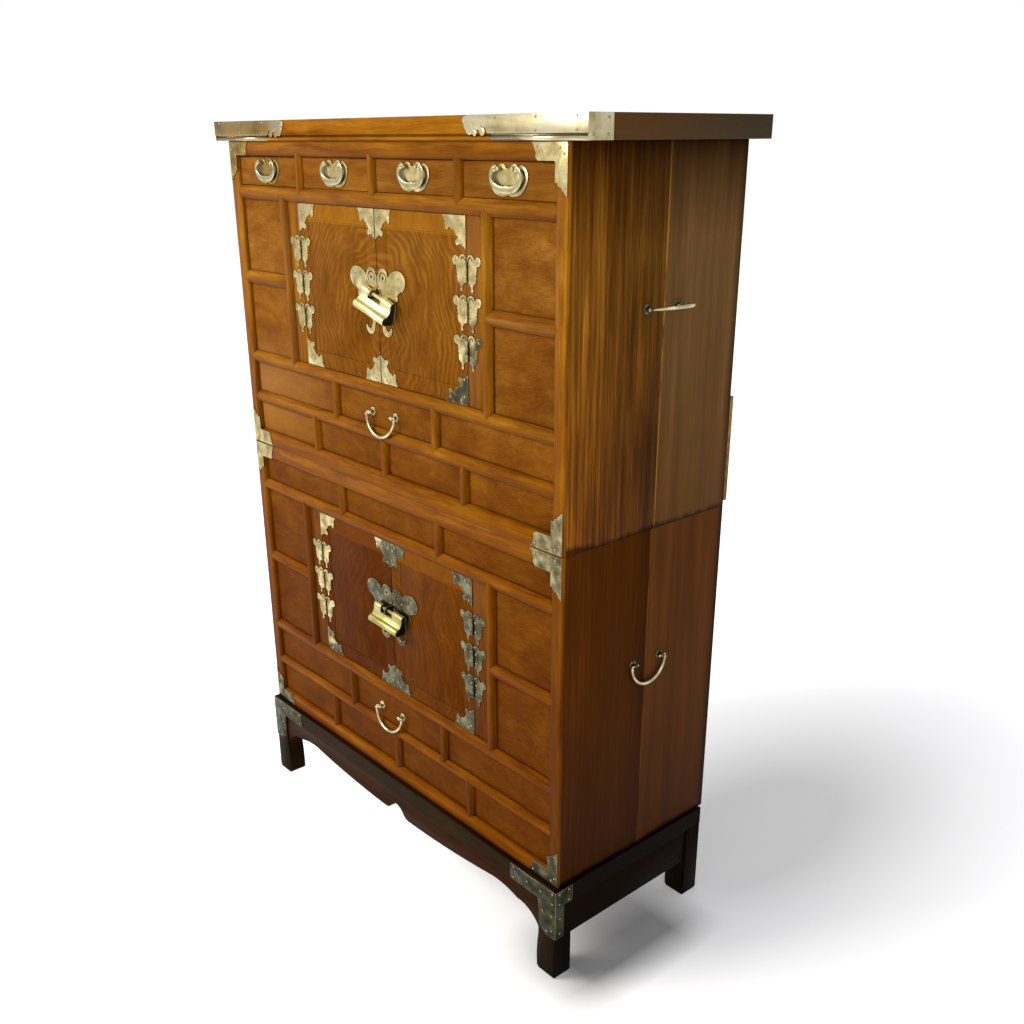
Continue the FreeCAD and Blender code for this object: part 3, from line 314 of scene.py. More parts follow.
def dark_stand_ends(tree, place, colour, streaks):
    """A stand whose feet and outer ends are nearly black, with red brown patches under its rail."""
    parts = add(tree, "ShaderNodeSeparateXYZ", {0: place})
    rail_foot = 146 * mm
    under = span(tree, parts.outputs["Z"], rail_foot - 1 * mm, rail_foot + 1 * mm, 1.0, 0.0)
    for share in (span(tree, streaks, 0.4, 0.6, 0.2, 0.8), span(tree, parts.outputs["Z"], 60 * mm, 110 * mm)):
        under = add(tree, "ShaderNodeMath", {0: under, 1: share}, operation="MULTIPLY").outputs[0]
    colour = blend(tree, "MIX", under, colour, "#4C2A0A")
    reach = add(tree, "ShaderNodeMath", {0: parts.outputs["X"]}, operation="ABSOLUTE").outputs[0]
    end = span(tree, reach, stand_half - 5.5 * mm, stand_half - 3.5 * mm)
    return blend(tree, "MULTIPLY", end, colour, "#78684A")


golden = ((0.0, "#7A4C0C"), (0.3, "#9C6514"), (0.62, "#B0781C"), (1.0, "#C08A2A"))
burl = ((0.0, "#875418"), (0.4, "#946020"), (0.75, "#9E6A26"), (1.0, "#A8742C"))
drawer_tones = ((0.0, "#8E5C20"), (0.4, "#9C6A2A"), (0.75, "#A87632"), (1.0, "#B28038"))
door_wood = ((0.0, "#72460F"), (0.4, "#845216"), (0.8, "#92611C"), (1.0, "#A27224"))
side_tones = ((0.0, "#52330F"), (0.4, "#6E4617"), (0.7, "#7E541B"), (1.0, "#946520"))
stand_tones = ((0.0, "#241B0B"), (0.5, "#3A2C12"), (1.0, "#503E1E"))
leg_tones = ((0.0, "#18120A"), (0.5, "#2A2110"), (1.0, "#382D18"))
side_fade = ((0.0, "#C4B494"), (0.25, "#F6F0E4"), (0.515, "#FFFFFF"), (0.52, "#DCC490"), (0.85, "#FFFFFF"))
plain_tones = ((0.0, "#8C6A40"), (0.5, "#B08A58"), (1.0, "#C9A470"))

# Zelkova, planed, rounded and oiled: long golden streaks that follow each bar, with painted shade on
# each bar's lower or left half; painted light on bars that lie and painted shade on bars that stand
level_frame = timber("zelkova_bar_planed_and_oiled_level", "X", golden, figure=shaded_half, sheen=0.05,
                     fade=level_age_and_painted_light)
upright_frame = timber("zelkova_bar_planed_and_oiled_upright", "Z", golden, figure=shaded_half, sheen=0.05,
                       fade=upright_age_and_painted_shade)
top_wood = timber("zelkova_top_planed_and_oiled", "X", golden, streak=14.0, length=300.0, figure=dark_ends,
                  fade=((0.0, "#FFFFFF"), (1.0, "#FFF8EC")))
# Zelkova burl, sliced and polished: soft curls without a clear direction
panel_wood = timber("zelkova_burl_sliced_and_polished", "X", burl, streak=22.0, length=70.0, wander=30.0,
                    figure=curl)
drawer_wood = timber("zelkova_drawer_front_oiled", "X", drawer_tones, streak=14.0, length=120.0)
# Zelkova crotch veneer, polished: nested golden arches that run over frame and panel alike
door_veneer = timber("zelkova_flame_veneer_polished", "Z", door_wood, streak=16.0, length=70.0, wander=40.0,
                     tone_spread=0.0, figure=flame, corner=(2.0, 0.4))
# Pine boards, stained dark: soft brown bands, with thin orange and near black lines over them
side_wood = timber("pine_side_board_stained", "Z", side_tones, streak=24.0, length=600.0, wander=5.0,
                   figure=boards, tone_spread=0.0, sheen=0.03, fade=side_fade)
# Pine, lacquered dark brown
stand_level = timber("pine_stand_lacquered_level", "X", stand_tones, figure=dark_stand_ends, sheen=0.04)
stand_upright = timber("pine_stand_lacquered_upright", "Z", leg_tones, figure=dark_stand_ends, sheen=0.04)
# Pine left bare inside and behind
plain_wood = timber("pine_board_planed_bare", "X", plain_tones, rough=(0.6, 0.75),
                    fade=((0.0, "#D8C8B0"), (1.0, "#FFFFFF")))


def brass(name, stops, size=18.0, rough=(0.28, 0.5), dimmed=None, ends=None, honey=None, dirt_and_shade_reach=4.5):
    """Brass sheet or wire, tarnished in clouds of the given size in mm, with dirt and painted shade in its
    corners, and edges painted pale, partly as wear and partly as a painted highlight. Below a sloping line
    it is darker, partly tarnished and partly a painted dark reflection, given as the line's height, how
    much it rises per metre to the right, and how far above it the darker part ends. Ends is the tone of
    its plates across X, honey the tone that it takes on high up at the left, and the last number how far
    in mm dirt and painted shade reach round whatever stands on it."""
    material, tree, shader = new_material(name)
    place, moved, tone = own_place(tree)
    clouds = noise(tree, moved, size, 3.0, 0.5).outputs["Fac"]
    specks = noise(tree, moved, 2.2).outputs["Fac"]
    colour = ramp(tree, span(tree, clouds, 0.3, 0.7), stops)
    dirt = ramp(tree, span(tree, specks, 0.3, 0.5), ((0.0, "#A09A80"), (1.0, "#FFFFFF")))
    colour = blend(tree, "MULTIPLY", 0.15, colour, dirt)
    # Darker below a sloping line: partly tarnished, partly a painted dark reflection of the surroundings
    if dimmed:
        parts = add(tree, "ShaderNodeSeparateXYZ", {0: place})
        height, slope, depth = dimmed
        line = sums(tree, sums(tree, parts.outputs["Z"], parts.outputs["X"], -slope), clouds, 0.22)
        tarnish_and_reflection = span(tree, line, height + 0.07, height + 0.07 + depth, 0.92, 0.0)
        black = ramp(tree, span(tree, clouds, 0.35, 0.65),
                     ((0.0, "#2A2B20"), (0.6, "#434536"), (1.0, "#686A54")))
        colour = blend(tree, "MIX", tarnish_and_reflection, colour, black)
    if honey:
        parts = add(tree, "ShaderNodeSeparateXYZ", {0: place})
        left = span(tree, parts.outputs["X"], -0.3, -0.2, 1.0, 0.0)
        high = span(tree, parts.outputs["Z"], 1.0, 1.2)
        brown = add(tree, "ShaderNodeMath", {0: left, 1: high}, operation="MULTIPLY").outputs[0]
        colour = blend(tree, "MULTIPLY", brown, colour, honey)
    # Edges painted pale: partly wear, partly a painted highlight
    rim = add(tree, "ShaderNodeAmbientOcclusion", {"Distance": 1.0 * mm}, samples=5,
              inside=True).outputs["AO"]
    colour = blend(tree, "MIX", span(tree, rim, 0.7, 0.95, 0.45, 0.0), colour, "#D6CDA6")
    # Dirt and painted shade in its corners and round whatever stands on it
    hollow = add(tree, "ShaderNodeAmbientOcclusion", {"Distance": dirt_and_shade_reach * mm}, samples=8).outputs["AO"]
    dark = ramp(tree, span(tree, hollow, 0.45, 0.96), ((0.0, "#2A2414"), (1.0, "#FFFFFF")))
    colour = blend(tree, "MULTIPLY", 0.9, colour, dark)
    if ends:
        normal = add(tree, "ShaderNodeTexCoord").outputs["Normal"]
        facing = add(tree, "ShaderNodeSeparateXYZ", {0: normal}).outputs["X"]
        turned_away = add(tree, "ShaderNodeMath", {0: facing}, operation="ABSOLUTE").outputs[0]
        colour = blend(tree, "MIX", span(tree, turned_away, 0.8, 0.92), colour, ends)
    tree.links.new(colour, shader.inputs["Base Color"])
    shader.inputs["Metallic"].default_value = 1.0
    tree.links.new(span(tree, clouds, 0.3, 0.7, rough[1], rough[0]), shader.inputs["Roughness"])
    bump = add(tree, "ShaderNodeBump", {"Height": clouds, "Strength": 0.15, "Distance": 0.5 * mm})
    tree.links.new(bump.outputs["Normal"], shader.inputs["Normal"])
    return material


plate_tones = ((0.0, "#988A5E"), (0.4, "#BFAE7A"), (0.75, "#DCCC94"), (1.0, "#F2E5AE"))
# Brass sheet, cut and filed: pale champagne above, near black green below, partly tarnished and partly
# a painted dark reflection
door_brass = brass("brass_sheet_on_doors", plate_tones, dimmed=(0.72, 1.35, 0.08))
corner_brass = brass("brass_sheet_on_corners", plate_tones, dimmed=(0.42, 0.5, 0.75), honey="#D1BF95")
foot_brass = brass("brass_sheet_on_the_stand", ((0.0, "#26251A"), (0.5, "#3C3B29"), (1.0, "#5A5840")))
# Brass sheet, polished: nearly white where it mirrors the room
cap_brass = brass("brass_sheet_polished", ((0.0, "#AC9C76"), (0.4, "#DED2A8"), (1.0, "#FAF3D6")), size=55.0,
                  rough=(0.2, 0.34), honey="#C4A878")
# Brass, cast and rubbed bright by hands
handle_brass = brass("brass_cast_hand_polished", ((0.0, "#9A9468"), (0.4, "#C9BE90"), (1.0, "#E6DDB8")),
                     rough=(0.18, 0.34), dirt_and_shade_reach=6.0)
# Brass in corners that no hand rubs, gone almost black between the bright spots
dark_brass = brass("brass_cast_darkened", ((0.0, "#1E1D14"), (0.5, "#45422E"), (1.0, "#8A8460")), size=6.0)
# Brass nail heads, worn bright on top
nail_brass = brass("brass_nail_worn", ((0.0, "#6A6242"), (1.0, "#A89E72")), size=6.0)
# Nail heads near the floor, nearly as dark as the plates they hold
foot_nail_brass = brass("brass_nail_tarnished", ((0.0, "#4A4832"), (1.0, "#7C7858")), size=6.0)
# Brass sheet rolled into a padlock: satin, yellower than the plates, with dark green end plates
lock_brass = brass("brass_sheet_rolled_satin", ((0.0, "#C2BA80"), (0.4, "#DDD49C"), (1.0, "#EBE4B4")),
                   size=30.0, rough=(0.42, 0.55), ends="#3E4228")
# The same, less often handled: olive
olive_brass = brass("brass_sheet_rolled_tarnished", ((0.0, "#9C9458"), (0.4, "#BCB272"), (1.0, "#D2C88A")),
                    size=30.0, rough=(0.42, 0.55), ends="#34381F")
lock_finish = {"lower": olive_brass, "upper": lock_brass}


def piece_marks(obj, seed):
    """Gives each separate solid of a mesh one number from 0 to 1, and each corner its place across the
    solid, from 0 below or left to 1 above or right. A solid is found by spreading the lowest vertex
    number over its triangles until nothing changes, with touching corners as one."""
    mesh = obj.data
    count = len(mesh.vertices)
    corner = np.empty(len(mesh.loops), np.int32)
    mesh.loops.foreach_get("vertex_index", corner)
    place = np.empty(count * 3, np.float32)
    mesh.vertices.foreach_get("co", place)
    spots = np.round(place.reshape(-1, 3) / (0.02 * mm)).astype(np.int64)
    same = np.unique(spots, axis=0, return_inverse=True)[1].reshape(-1)
    faces = same[corner].reshape(-1, 3)
    label = np.arange(same.max() + 1)
    for _ in range(400):
        lowest = label[faces].min(axis=1)
        fresh = label.copy()
        for side in range(3):
            np.minimum.at(fresh, faces[:, side], lowest)
        if (fresh == label).all():
            break
        label = fresh
    islands = np.unique(label, return_inverse=True)[1].reshape(-1)
    values = np.random.default_rng(seed).random(islands.max() + 1)
    solid = islands[same]
    place = place.reshape(-1, 3)[:, (0, 2)]
    low, high = np.full((solid.max() + 1, 2), np.inf), np.full((solid.max() + 1, 2), -np.inf)
    np.minimum.at(low, solid, place)
    np.maximum.at(high, solid, place)
    size = np.maximum(high - low, 0.1 * mm)
    share = (place - low[solid]) / size[solid]
    across = np.where(size[solid, 0] > size[solid, 1], share[:, 1], share[:, 0])
    for name, numbers in (("piece_tone", values[solid]), ("piece_across", across)):
        attribute = mesh.attributes.new(name, "FLOAT", "POINT")
        attribute.data.foreach_set("value", numbers.astype(np.float32))


def dress(node, material, edge, flat_faces=False):
    """Gives a CAD node its finish and eases its edges by a width in mm. Flat faces are for a node
    without any curved ones."""
    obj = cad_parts[node]
    piece_marks(obj, sum(map(ord, node)))
    obj.data.materials.clear()
    obj.data.materials.append(material)
    obj.data.polygons.foreach_set("use_smooth", np.full(len(obj.data.polygons), edge > 0 and not flat_faces))
    weld = obj.modifiers.new("weld", "WELD")
    weld.merge_threshold = 0.01 * mm
    flat = obj.modifiers.new("flat", "DECIMATE")
    flat.decimate_type = "DISSOLVE"
    flat.angle_limit = math.radians(0.5)
    if edge:
        bevel = obj.modifiers.new("edge", "BEVEL")
        bevel.width = edge * mm
        bevel.segments = 2
        bevel.limit_method = "ANGLE"
        bevel.angle_limit = math.radians(38)
        bevel.harden_normals = not flat_faces
    return obj


for tier in tiers:
    dress(tier + "_side_boards", side_wood, 0.8)
    dress(tier + "_stiles", upright_frame, 0.6)
    dress(tier + "_rails", level_frame, 0.6)
    dress(tier + "_uprights", upright_frame, 0.6)
    dress(tier + "_front_panels", panel_wood, 0.0)
    dress(tier + "_boards", plain_wood, 0.6)
    for side in ("left", "right"):
        door = tier + "_" + side + "_door"
        dress(door + "_frame", door_veneer, 0.0)
        dress(door + "_panel", door_veneer, 0.5)
        dress(door + "_fittings", door_brass, 0.3)
    dress(tier + "_corner_plates", corner_brass, 0.3)
    dress(tier + "_fixed_hinge_leaves", door_brass, 0.3)
    dress(tier + "_padlock_case", lock_finish[tier], 0.4)
    dress(tier + "_padlock_bolt", lock_finish[tier], 0.2)
for number in range(1, 5):
    drawer = "drawer_%d" % number
    dress(drawer + "_box", drawer_wood, 0.8)
    dress(drawer + "_plate", corner_brass, 0.3)
dress("lower_back_board", plain_wood, 0.8)
dress("upper_back_boards", plain_wood, 0.8)
dress("top_board", top_wood, 1.0)
dress("top_board_caps", cap_brass, 0.3)
dress("stand_frame_rails", stand_level, 1.2, flat_faces=True)
dress("stand_legs", stand_upright, 1.2)
dress("stand_aprons", stand_level, 1.0)
dress("stand_corner_straps", foot_brass, 0.3)


def surface(name, materials, body, patches, finish=()):
    """One smooth mesh from patches of points, each shaped (copies, rows, columns, 3): rows run along
    it and columns round it, and the last column joins the first one. Finish has each patch's place in
    the list of materials."""
    spots, faces, first = [], [], 0
    for patch in patches:
        number = first + np.arange(patch[..., 0].size).reshape(patch.shape[:3])
        beside = np.roll(number, -1, axis=2)
        quads = np.stack([number[:, :-1], number[:, 1:], beside[:, 1:], beside[:, :-1]], axis=-1)
        spots.append(patch.reshape(-1, 3))
        faces.append(quads.reshape(-1, 4))
        first += number.size
    mesh = bpy.data.meshes.new(name)
    mesh.from_pydata(np.concatenate(spots).tolist(), [], np.concatenate(faces).tolist())
    for material in materials:
        mesh.materials.append(material)
    if finish:
        kinds = np.repeat(finish, [len(part) for part in faces])
        mesh.polygons.foreach_set("material_index", kinds)
    form = bmesh.new()
    form.from_mesh(mesh)
    bmesh.ops.remove_doubles(form, verts=form.verts, dist=0.002 * mm)
    bmesh.ops.recalc_face_normals(form, faces=form.faces)
    form.to_mesh(mesh)
    form.free()
    mesh.polygons.foreach_set("use_smooth", np.ones(len(mesh.polygons), bool))
    obj = bpy.data.objects.new(name, mesh)
    bpy.context.scene.collection.objects.link(obj)
    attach(obj, body)
    return obj


def smooth(points, count):
    """A Catmull-Rom curve through points, as count points spread along it."""
    path = np.array(points, float)
    path = np.vstack([2 * path[0] - path[1], path, 2 * path[-1] - path[-2]])
    along = np.linspace(0, len(path) - 3, count)
    step = np.minimum(along.astype(int), len(path) - 4)
    part = (along - step)[:, None]
    a, b, c, d = (path[step + i] for i in range(4))
    return (2 * b + (c - a) * part + (2 * a - 5 * b + 4 * c - d) * part ** 2
            + (3 * b - 3 * c + d - a) * part ** 3) / 2


def tube(path, radius, normal, sides=16):
    """Circles carried along a flat path: centre + r (cos a across + sin a normal), with r falling
    to nothing at both ends. The normal stands on the path's plane."""
    way = np.gradient(path, axis=0)
    way /= np.linalg.norm(way, axis=1, keepdims=True)
    across = np.cross(way, normal)
    turn = np.linspace(0, 2 * np.pi, sides, endpoint=False)
    ring = np.cos(turn)[None, :, None] * across[:, None] + np.sin(turn)[None, :, None] * np.array(normal)
    points = path[:, None] + radius[:, None, None] * ring
    ends = [np.repeat(path[[i]][:, None], sides, axis=1) for i in (0, -1)]
    return np.concatenate([ends[0], points, ends[1]])[None]


def turned(profile, spots, sides=12, wave=None):
    """A profile of (reach, radius) turned about -Y at each spot: spot + (r cos a, -reach, r sin a).
    Wave is a factor on the radius that depends on the angle a."""
    turn = np.linspace(0, 2 * np.pi, sides, endpoint=False)
    reach, radius = np.array(profile, float).T
    lobes = np.ones(sides) if wave is None else wave(turn)
    wide = radius[:, None] * lobes
    ahead = np.broadcast_to(-reach[:, None], wide.shape)
    ring = np.stack([wide * np.cos(turn), ahead, wide * np.sin(turn)], axis=-1)
    return np.array(spots, float).reshape(-1, 1, 1, 3) + ring


def about(axis, angle):
    """The matrix that turns rows of points about X or Z by an angle."""
    c, s = math.cos(angle), math.sin(angle)
    if axis == "X":
        return np.array([[1, 0, 0], [0, c, -s], [0, s, c]]).T
    return np.array([[c, -s, 0], [s, c, 0], [0, 0, 1]]).T


# Bails: half width, drop, spacing of the posts and distance of the pins from the face, in mm
side_bail = (39.5, 40.0, 64.0, 6.0)
bail_sizes = {"front": (40.5, 37.5, 66.5, 8.0), "left": side_bail, "right": side_bail}
side_turn = {"front": 0.0, "left": -math.pi / 2, "right": math.pi / 2}
# Heights of the pins in mm, and how far a front bail hangs from the middle
bail_rows = {("lower", "front"): 317.3, ("upper", "front"): 899.8,
             ("lower", "side"): 540.3, ("upper", "side"): 1109.6}
bail_shift = {"lower": -18.0, "upper": 0.0}
# From the front to the face that carries the front bails, and to the middle of the side ones, in mm
bail_face = 8.0
side_middle = 194.25
# How far a bail is turned from hanging at rest, in degrees
front_lean = 7.0
side_lift = {"lower": 0.0, "upper": 98.0}


def bail_spot(tier, side):
    """Midway between a bail's two posts, on the face that carries them, in mm."""
    if side == "front":
        return np.array([bail_shift[tier], front / mm + bail_face, bail_rows[tier, "front"]])
    half = body_half / mm
    return np.array([-half if side == "left" else half, front / mm + side_middle, bail_rows[tier, "side"]])


def bail_points(side, angle):
    """A bail as a tube whose radius grows from its hooked ends to its middle: r = 1.75 + 1.35 times
    sin(b) to the power of 0.8, b running from 0 to pi. The middle is an arc and each end turns in
    through its post's eye."""
    half, drop, spacing, stand_off = bail_sizes[side]
    shoulder = 5.0
    thin_end = 15
    sagitta = drop - shoulder
    bow = (half ** 2 + sagitta ** 2) / (2 * sagitta)
    open_angle = math.atan2(half, bow - sagitta)
    sweep = np.linspace(-open_angle, open_angle, 56)
    arc = np.stack([bow * np.sin(sweep), 0 * sweep, bow - drop - bow * np.cos(sweep)], axis=1)
    pin = spacing / 2 - 5.0
    hook = smooth([(-pin, 0, 0), (-spacing / 2, 0, 0), (1.2 - half, 0, 0.4), (-0.3 - half, 0, -1.6),
                   arc[0]], 22)[:-1]
    path = np.concatenate([hook, arc, hook[::-1] * (-1, 1, 1)])
    share = np.clip((np.arange(len(path)) - thin_end) / (len(path) - 1 - 2 * thin_end), 0, 1)
    radius = 1.75 + 1.35 * np.sin(np.pi * share) ** 0.8
    hoop = tube(path, radius, (0.0, 1.0, 0.0))
    balls = [ball((x, 0, -shoulder + 0.4), 3.3) for x in (-half, half)]
    tips = [ball((x, 0, 0), 2.4) for x in (-pin, pin)]
    patches = [hoop] + balls + tips
    patches = [patch @ about("X", math.radians(-angle)) for patch in patches]
    return [(patch + (0, -stand_off, 0)) @ about("Z", side_turn[side]) for patch in patches]


def ball(middle, radius, sides=14):
    """A ball: reach = -R cos b and radius = R sin b for b from 0 to pi, turned about -Y."""
    b = np.linspace(0, np.pi, 9)
    return turned(np.stack([-radius * np.cos(b), radius * np.sin(b)], axis=1), [middle], sides)


def post_points(side):
    """Two posts: each a rosette of six petals, R = 8.4 (0.84 + 0.16 |cos 3a|), with a domed middle,
    and a stem that ends in a ball."""
    half, drop, spacing, stand_off = bail_sizes[side]
    spots = [(-spacing / 2, 0, 0), (spacing / 2, 0, 0)]
    rosette = [(0.0, 8.4), (0.7, 8.3), (1.3, 7.4), (1.5, 6.0), (2.2, 4.6), (2.4, 3.4), (2.4, 0.0)]
    stem = [(1.0, 3.2), (stand_off - 4.0, 2.4), (stand_off - 3.2, 2.9), (stand_off - 1.8, 3.7),
            (stand_off, 4.1), (stand_off + 1.6, 3.8), (stand_off + 3.0, 2.7), (stand_off + 3.8, 1.4),
            (stand_off + 4.0, 0.0)]
    petals = turned(rosette, spots, 48, lambda a: 0.84 + 0.16 * np.abs(np.cos(3 * a)))
    return [patch @ about("Z", side_turn[side]) for patch in (petals, turned(stem, spots, 16))]


for tier in tiers:
    posts = []
    for side in ("front", "left", "right"):
        spot = bail_spot(tier, side)
        angle = front_lean if side == "front" else side_lift[tier]
        name = tier + "_" + side + "_bail"
        patches = [(patch + spot) * mm for patch in bail_points(side, angle)]
        hoop = surface(name + "_hoop", [handle_brass], name, patches)
        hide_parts(name)
        posts += [(p + spot) * mm for p in post_points(side)]
    rosettes = surface(tier + "_bail_rosettes", [handle_brass, dark_brass], tier + "_tier", posts,
                       [0, 0, 1, 1, 1, 1])
    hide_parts(tier + "_bail_posts")


def pull_points():
    """A crescent between two curves through points, outer and inner: mid + half (cos a) along the
    chord between them and thickness sin a forward, with curled eyes at the horns."""
    outer = smooth([(0, 0, -17.4), (8, 0, -17.2), (17, 0, -15.6), (24.5, 0, -12.2), (30.5, 0, -6.2),
                    (33.8, 0, 1.4), (33.4, 0, 8.6), (30.2, 0, 14.6), (25.8, 0, 17.4), (22.6, 0, 17.6)], 60)
    inner = smooth([(0, 0, -6.9), (6, 0, -7.4), (12, 0, -6.9), (17.5, 0, -5.6), (23, 0, -3.0), (27.4, 0, 1.2),
                    (28.6, 0, 5.0), (27.4, 0, 8.4), (24.8, 0, 10.9), (21.6, 0, 12.2)], 60)
    outer = np.concatenate([outer[::-1] * (-1, 1, 1), outer[1:]])
    inner = np.concatenate([inner[::-1] * (-1, 1, 1), inner[1:]])
    sides, last = 18, len(outer) - 1
    turn = np.linspace(0, 2 * np.pi, sides, endpoint=False)
    middle, half = (outer + inner) / 2, (outer - inner) / 2
    along = np.arange(last + 1)
    fade = np.clip(6 * np.minimum(along, last - along) / last, 0, 1) ** 0.5
    wide = np.sign(np.cos(turn)) * np.abs(np.cos(turn)) ** 0.7
    thick = 1.5 * np.sign(np.sin(turn)) * np.abs(np.sin(turn)) ** 0.7
    ring = middle[:, None] + half[:, None] * wide[None, :, None]
    ring[..., 1] -= (0.35 + 0.65 * fade)[:, None] * thick
    ends = [np.repeat(middle[[i]][:, None], sides, axis=1) for i in (0, -1)]
    crescent = np.concatenate([ends[0], ring, ends[1]])[None]
    eyes = []
    for side in (-1, 1):
        angle = np.linspace(0, 1.75 * 2 * np.pi, 60)
        coil = 3.5 - 0.27 * angle
        path = np.stack([side * (22.6 - coil * np.sin(angle + 0.4)), 0 * angle - 0.4,
                         14.6 + coil * np.cos(angle + 0.4)], axis=1)
        eyes.append(tube(path, np.full(len(path), 1.0), (0.0, 1.0, 0.0), 8))
        pin = np.stack([side * np.linspace(12.6, 21, 4), np.zeros(4), np.full(4, 14.8)], axis=1)
        eyes.append(tube(pin, np.full(len(pin), 1.2), (0.0, 1.0, 0.0), 10))
    return [crescent] + eyes


# The drawers' row from the middle to its end, the uprights in it and how far the pulls' pins stand
# before the drawers, in mm
row_half, upright, pin_reach = 424.0, 22.0, 5.8
opening = (2 * row_half - 3 * upright) / 4
drawer_middles = [index * (opening + upright) - row_half + opening / 2 for index in range(4)]
for number, x in enumerate(drawer_middles, 1):
    name = "drawer_%d_pull" % number
    spot = np.array([x, drawer_face / mm - pin_reach, sum(drawer_row) / 2 / mm])
    patches = [(patch + spot) * mm for patch in pull_points()]
    handle = surface(name + "_crescent", [handle_brass], name, patches)
    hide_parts(name)


def nail_heads(name, body, spots, outward, material):
    """Round nail heads, sunk a little: reach = h cos b - s and radius = r sin b for b from 90 to 0
    degrees, turned at each spot and facing outward."""
    height, radius, sunk = 1.25, 2.0, 0.15
    b = np.linspace(np.pi / 2, 0, 4)
    head = np.stack([height * np.cos(b) - sunk, radius * np.sin(b)], axis=1)
    patches = []
    for way, places in zip(outward, spots):
        patch = turned(head, [(0, 0, 0)], 10) @ about("Z", side_turn[way])
        patches.append((patch + np.array(places).reshape(-1, 1, 1, 3)) * mm)
    return surface(name, [material], body, patches)


def mirrored(places):
    """Places at both sides of the chest's middle."""
    places = np.array(places, float)
    return np.concatenate([places, places * (-1, 1, 1)])


# Nails, in mm: the fronts of the plates that they stand on, the edge left bare round a bracket and a
# door, half the gap between two doors, and the sizes of the doors' corner plates and shields
face = (front - plate_thick) / mm
door_front = (door_face - plate_thick) / mm
pin, wrap_front, cap_end = hinge_line / mm, front / mm - 5, (top_half + plate_thick) / mm
bracket_edge, door_edge, door_gap = 1.5, 1.0, 1.2
corner_size, shield_size = (54, 48), (46, 47)
leaf_foot, leaf_step, lock_plate_foot = -27, 58.5, -64.5
for tier in tiers:
    top, base = tier_top[tier] / mm, tier_base[tier] / mm
    bracket = [(58, 6), (14, 7), (6, 14), (5.5, 57)]
    spots = [(body_half / mm - bracket_edge - u, face, z) for u, v in bracket
             for z in (top - bracket_edge - v, base + bracket_edge + v)]
    low, high = (z / mm for z in door_row[tier])
    middle = (low + high) / 2
    leaf = [(6.5, 38), (6.5, 21), (26, 45.2)]
    bottoms = [middle + leaf_foot + leaf_step * step for step in (-1, 0, 1)]
    spots += [(pin + u, door_front, bottom + v) for bottom in bottoms for u, v in leaf]
    sets, ways = [mirrored(spots)], ["front"]
    if tier == "upper":
        board = [(top_half / mm - u, wrap_front - 1.2, top + z) for u in (18, 95, 176) for z in (29, 12.5)]
        sets[0] = np.concatenate([sets[0], mirrored(board)])
        wrap = [(cap_end, wrap_front + y, top + z) for y, z in ((9, 27), (36, 27), (9, 7), (36, 7))]
        sets += [wrap, [(-x, y, z) for x, y, z in wrap]]
        ways += ["right", "left"]
    nail_heads(tier + "_tier_nails", tier + "_tier", sets, ways, nail_brass)
    for side, way in (("left", -1), ("right", 1)):
        share = [(0.81, 0.16), (0.31, 0.13), (0.16, 0.27), (0.16, 0.83)]
        spots = []
        for edge, rise in ((low + door_edge, 1), (high - door_edge, -1)):
            spots += [(pin - door_edge - corner_size[0] * u, door_front, edge + rise * corner_size[1] * v)
                      for u, v in share]
            spots += [(door_gap + shield_size[0] * u, door_front, edge + rise * shield_size[1] * v)
                      for u, v in share]
        spots += [(pin - u, door_front, bottom + v) for bottom in bottoms for u, v in leaf]
        foot = lock_height[tier] / mm + lock_plate_foot
        spots += [(door_gap + u, door_front, foot + v)
                  for u, v in ((58, 97), (4.5, 66), (4.5, 76), (29, 84), (20, 9))]
        spots = np.array(spots) * (way, 1, 1)
        door = tier + "_" + side + "_door"
        nail_heads(door + "_nails", door, [spots], ["front"], nail_brass)


def bead_strip(side):
    """Brass over the groove and bead below a cap: their outline, half a millimetre proud of the wood,
    carried along X from the cap's ornament to the corner."""
    start, end = 300.0, top_half / mm + 0.5
    swell = np.linspace(1.25, -1.45, 12)
    bead = np.stack([3 - 3.25 * np.cos(swell), 3 + 3.45 * np.sin(swell)], axis=1)
    outline = np.concatenate([[(-0.7, 9.6), (-0.5, 8.9), (0.7, 8.45), (1.6, 7.8), (2.1, 7.0)], bead,
                              [(4.6, 0.4), (5.2, 4.0), (5.0, 8.5), (1.0, 11.0)]])
    x = side * np.array([start, start, end, end])
    shape = (len(x), len(outline))
    rows = np.stack([np.broadcast_to(x[:, None], shape),
                     np.broadcast_to(outline[:, 0] + wrap_front, shape),
                     np.broadcast_to(outline[:, 1] + tier_top["upper"] / mm, shape)], axis=-1).copy()
    rows[[0, -1]] = rows[[0, -1]].mean(axis=1, keepdims=True)
    return rows[None] * mm


surface("top_bead_strips", [cap_brass], "upper_tier", [bead_strip(side) for side in (-1, 1)])

# The stand's front and the middle of its rail, in mm
stand_front, rail_middle = front / mm - 9, 163.5
strap = [(stand_half / mm - u, stand_front - 1.2, rail_middle + v)
         for u, v in ((7, 10), (7, -10), (36, 0), (70, 0), (104, 10), (104, -10),
                      (9, -36), (31, -36), (9, -66), (20, -72))]
around = [((stand_half + plate_thick) / mm, stand_front + y, rail_middle + z)
          for y, z in ((8, 10), (30, 10), (8, -10), (30, -10), (9, -40), (9, -70))]
nail_heads("stand_nails", "stand", [mirrored(strap), around, [(-x, y, z) for x, y, z in around]],
           ["front", "right", "left"], foot_nail_brass)


def lamp(name, place, target, size, power, tint):
    """A square soft light that faces a point."""
    data = bpy.data.lights.new(name, "AREA")
    data.size = size
    data.energy = power
    data.color = linear(tint)[:3]
    obj = bpy.data.objects.new(name, data)
    obj.location = place
    obj.rotation_euler = (Vector(target) - Vector(place)).to_track_quat("-Z", "Y").to_euler()
    bpy.context.scene.collection.objects.link(obj)
    return obj


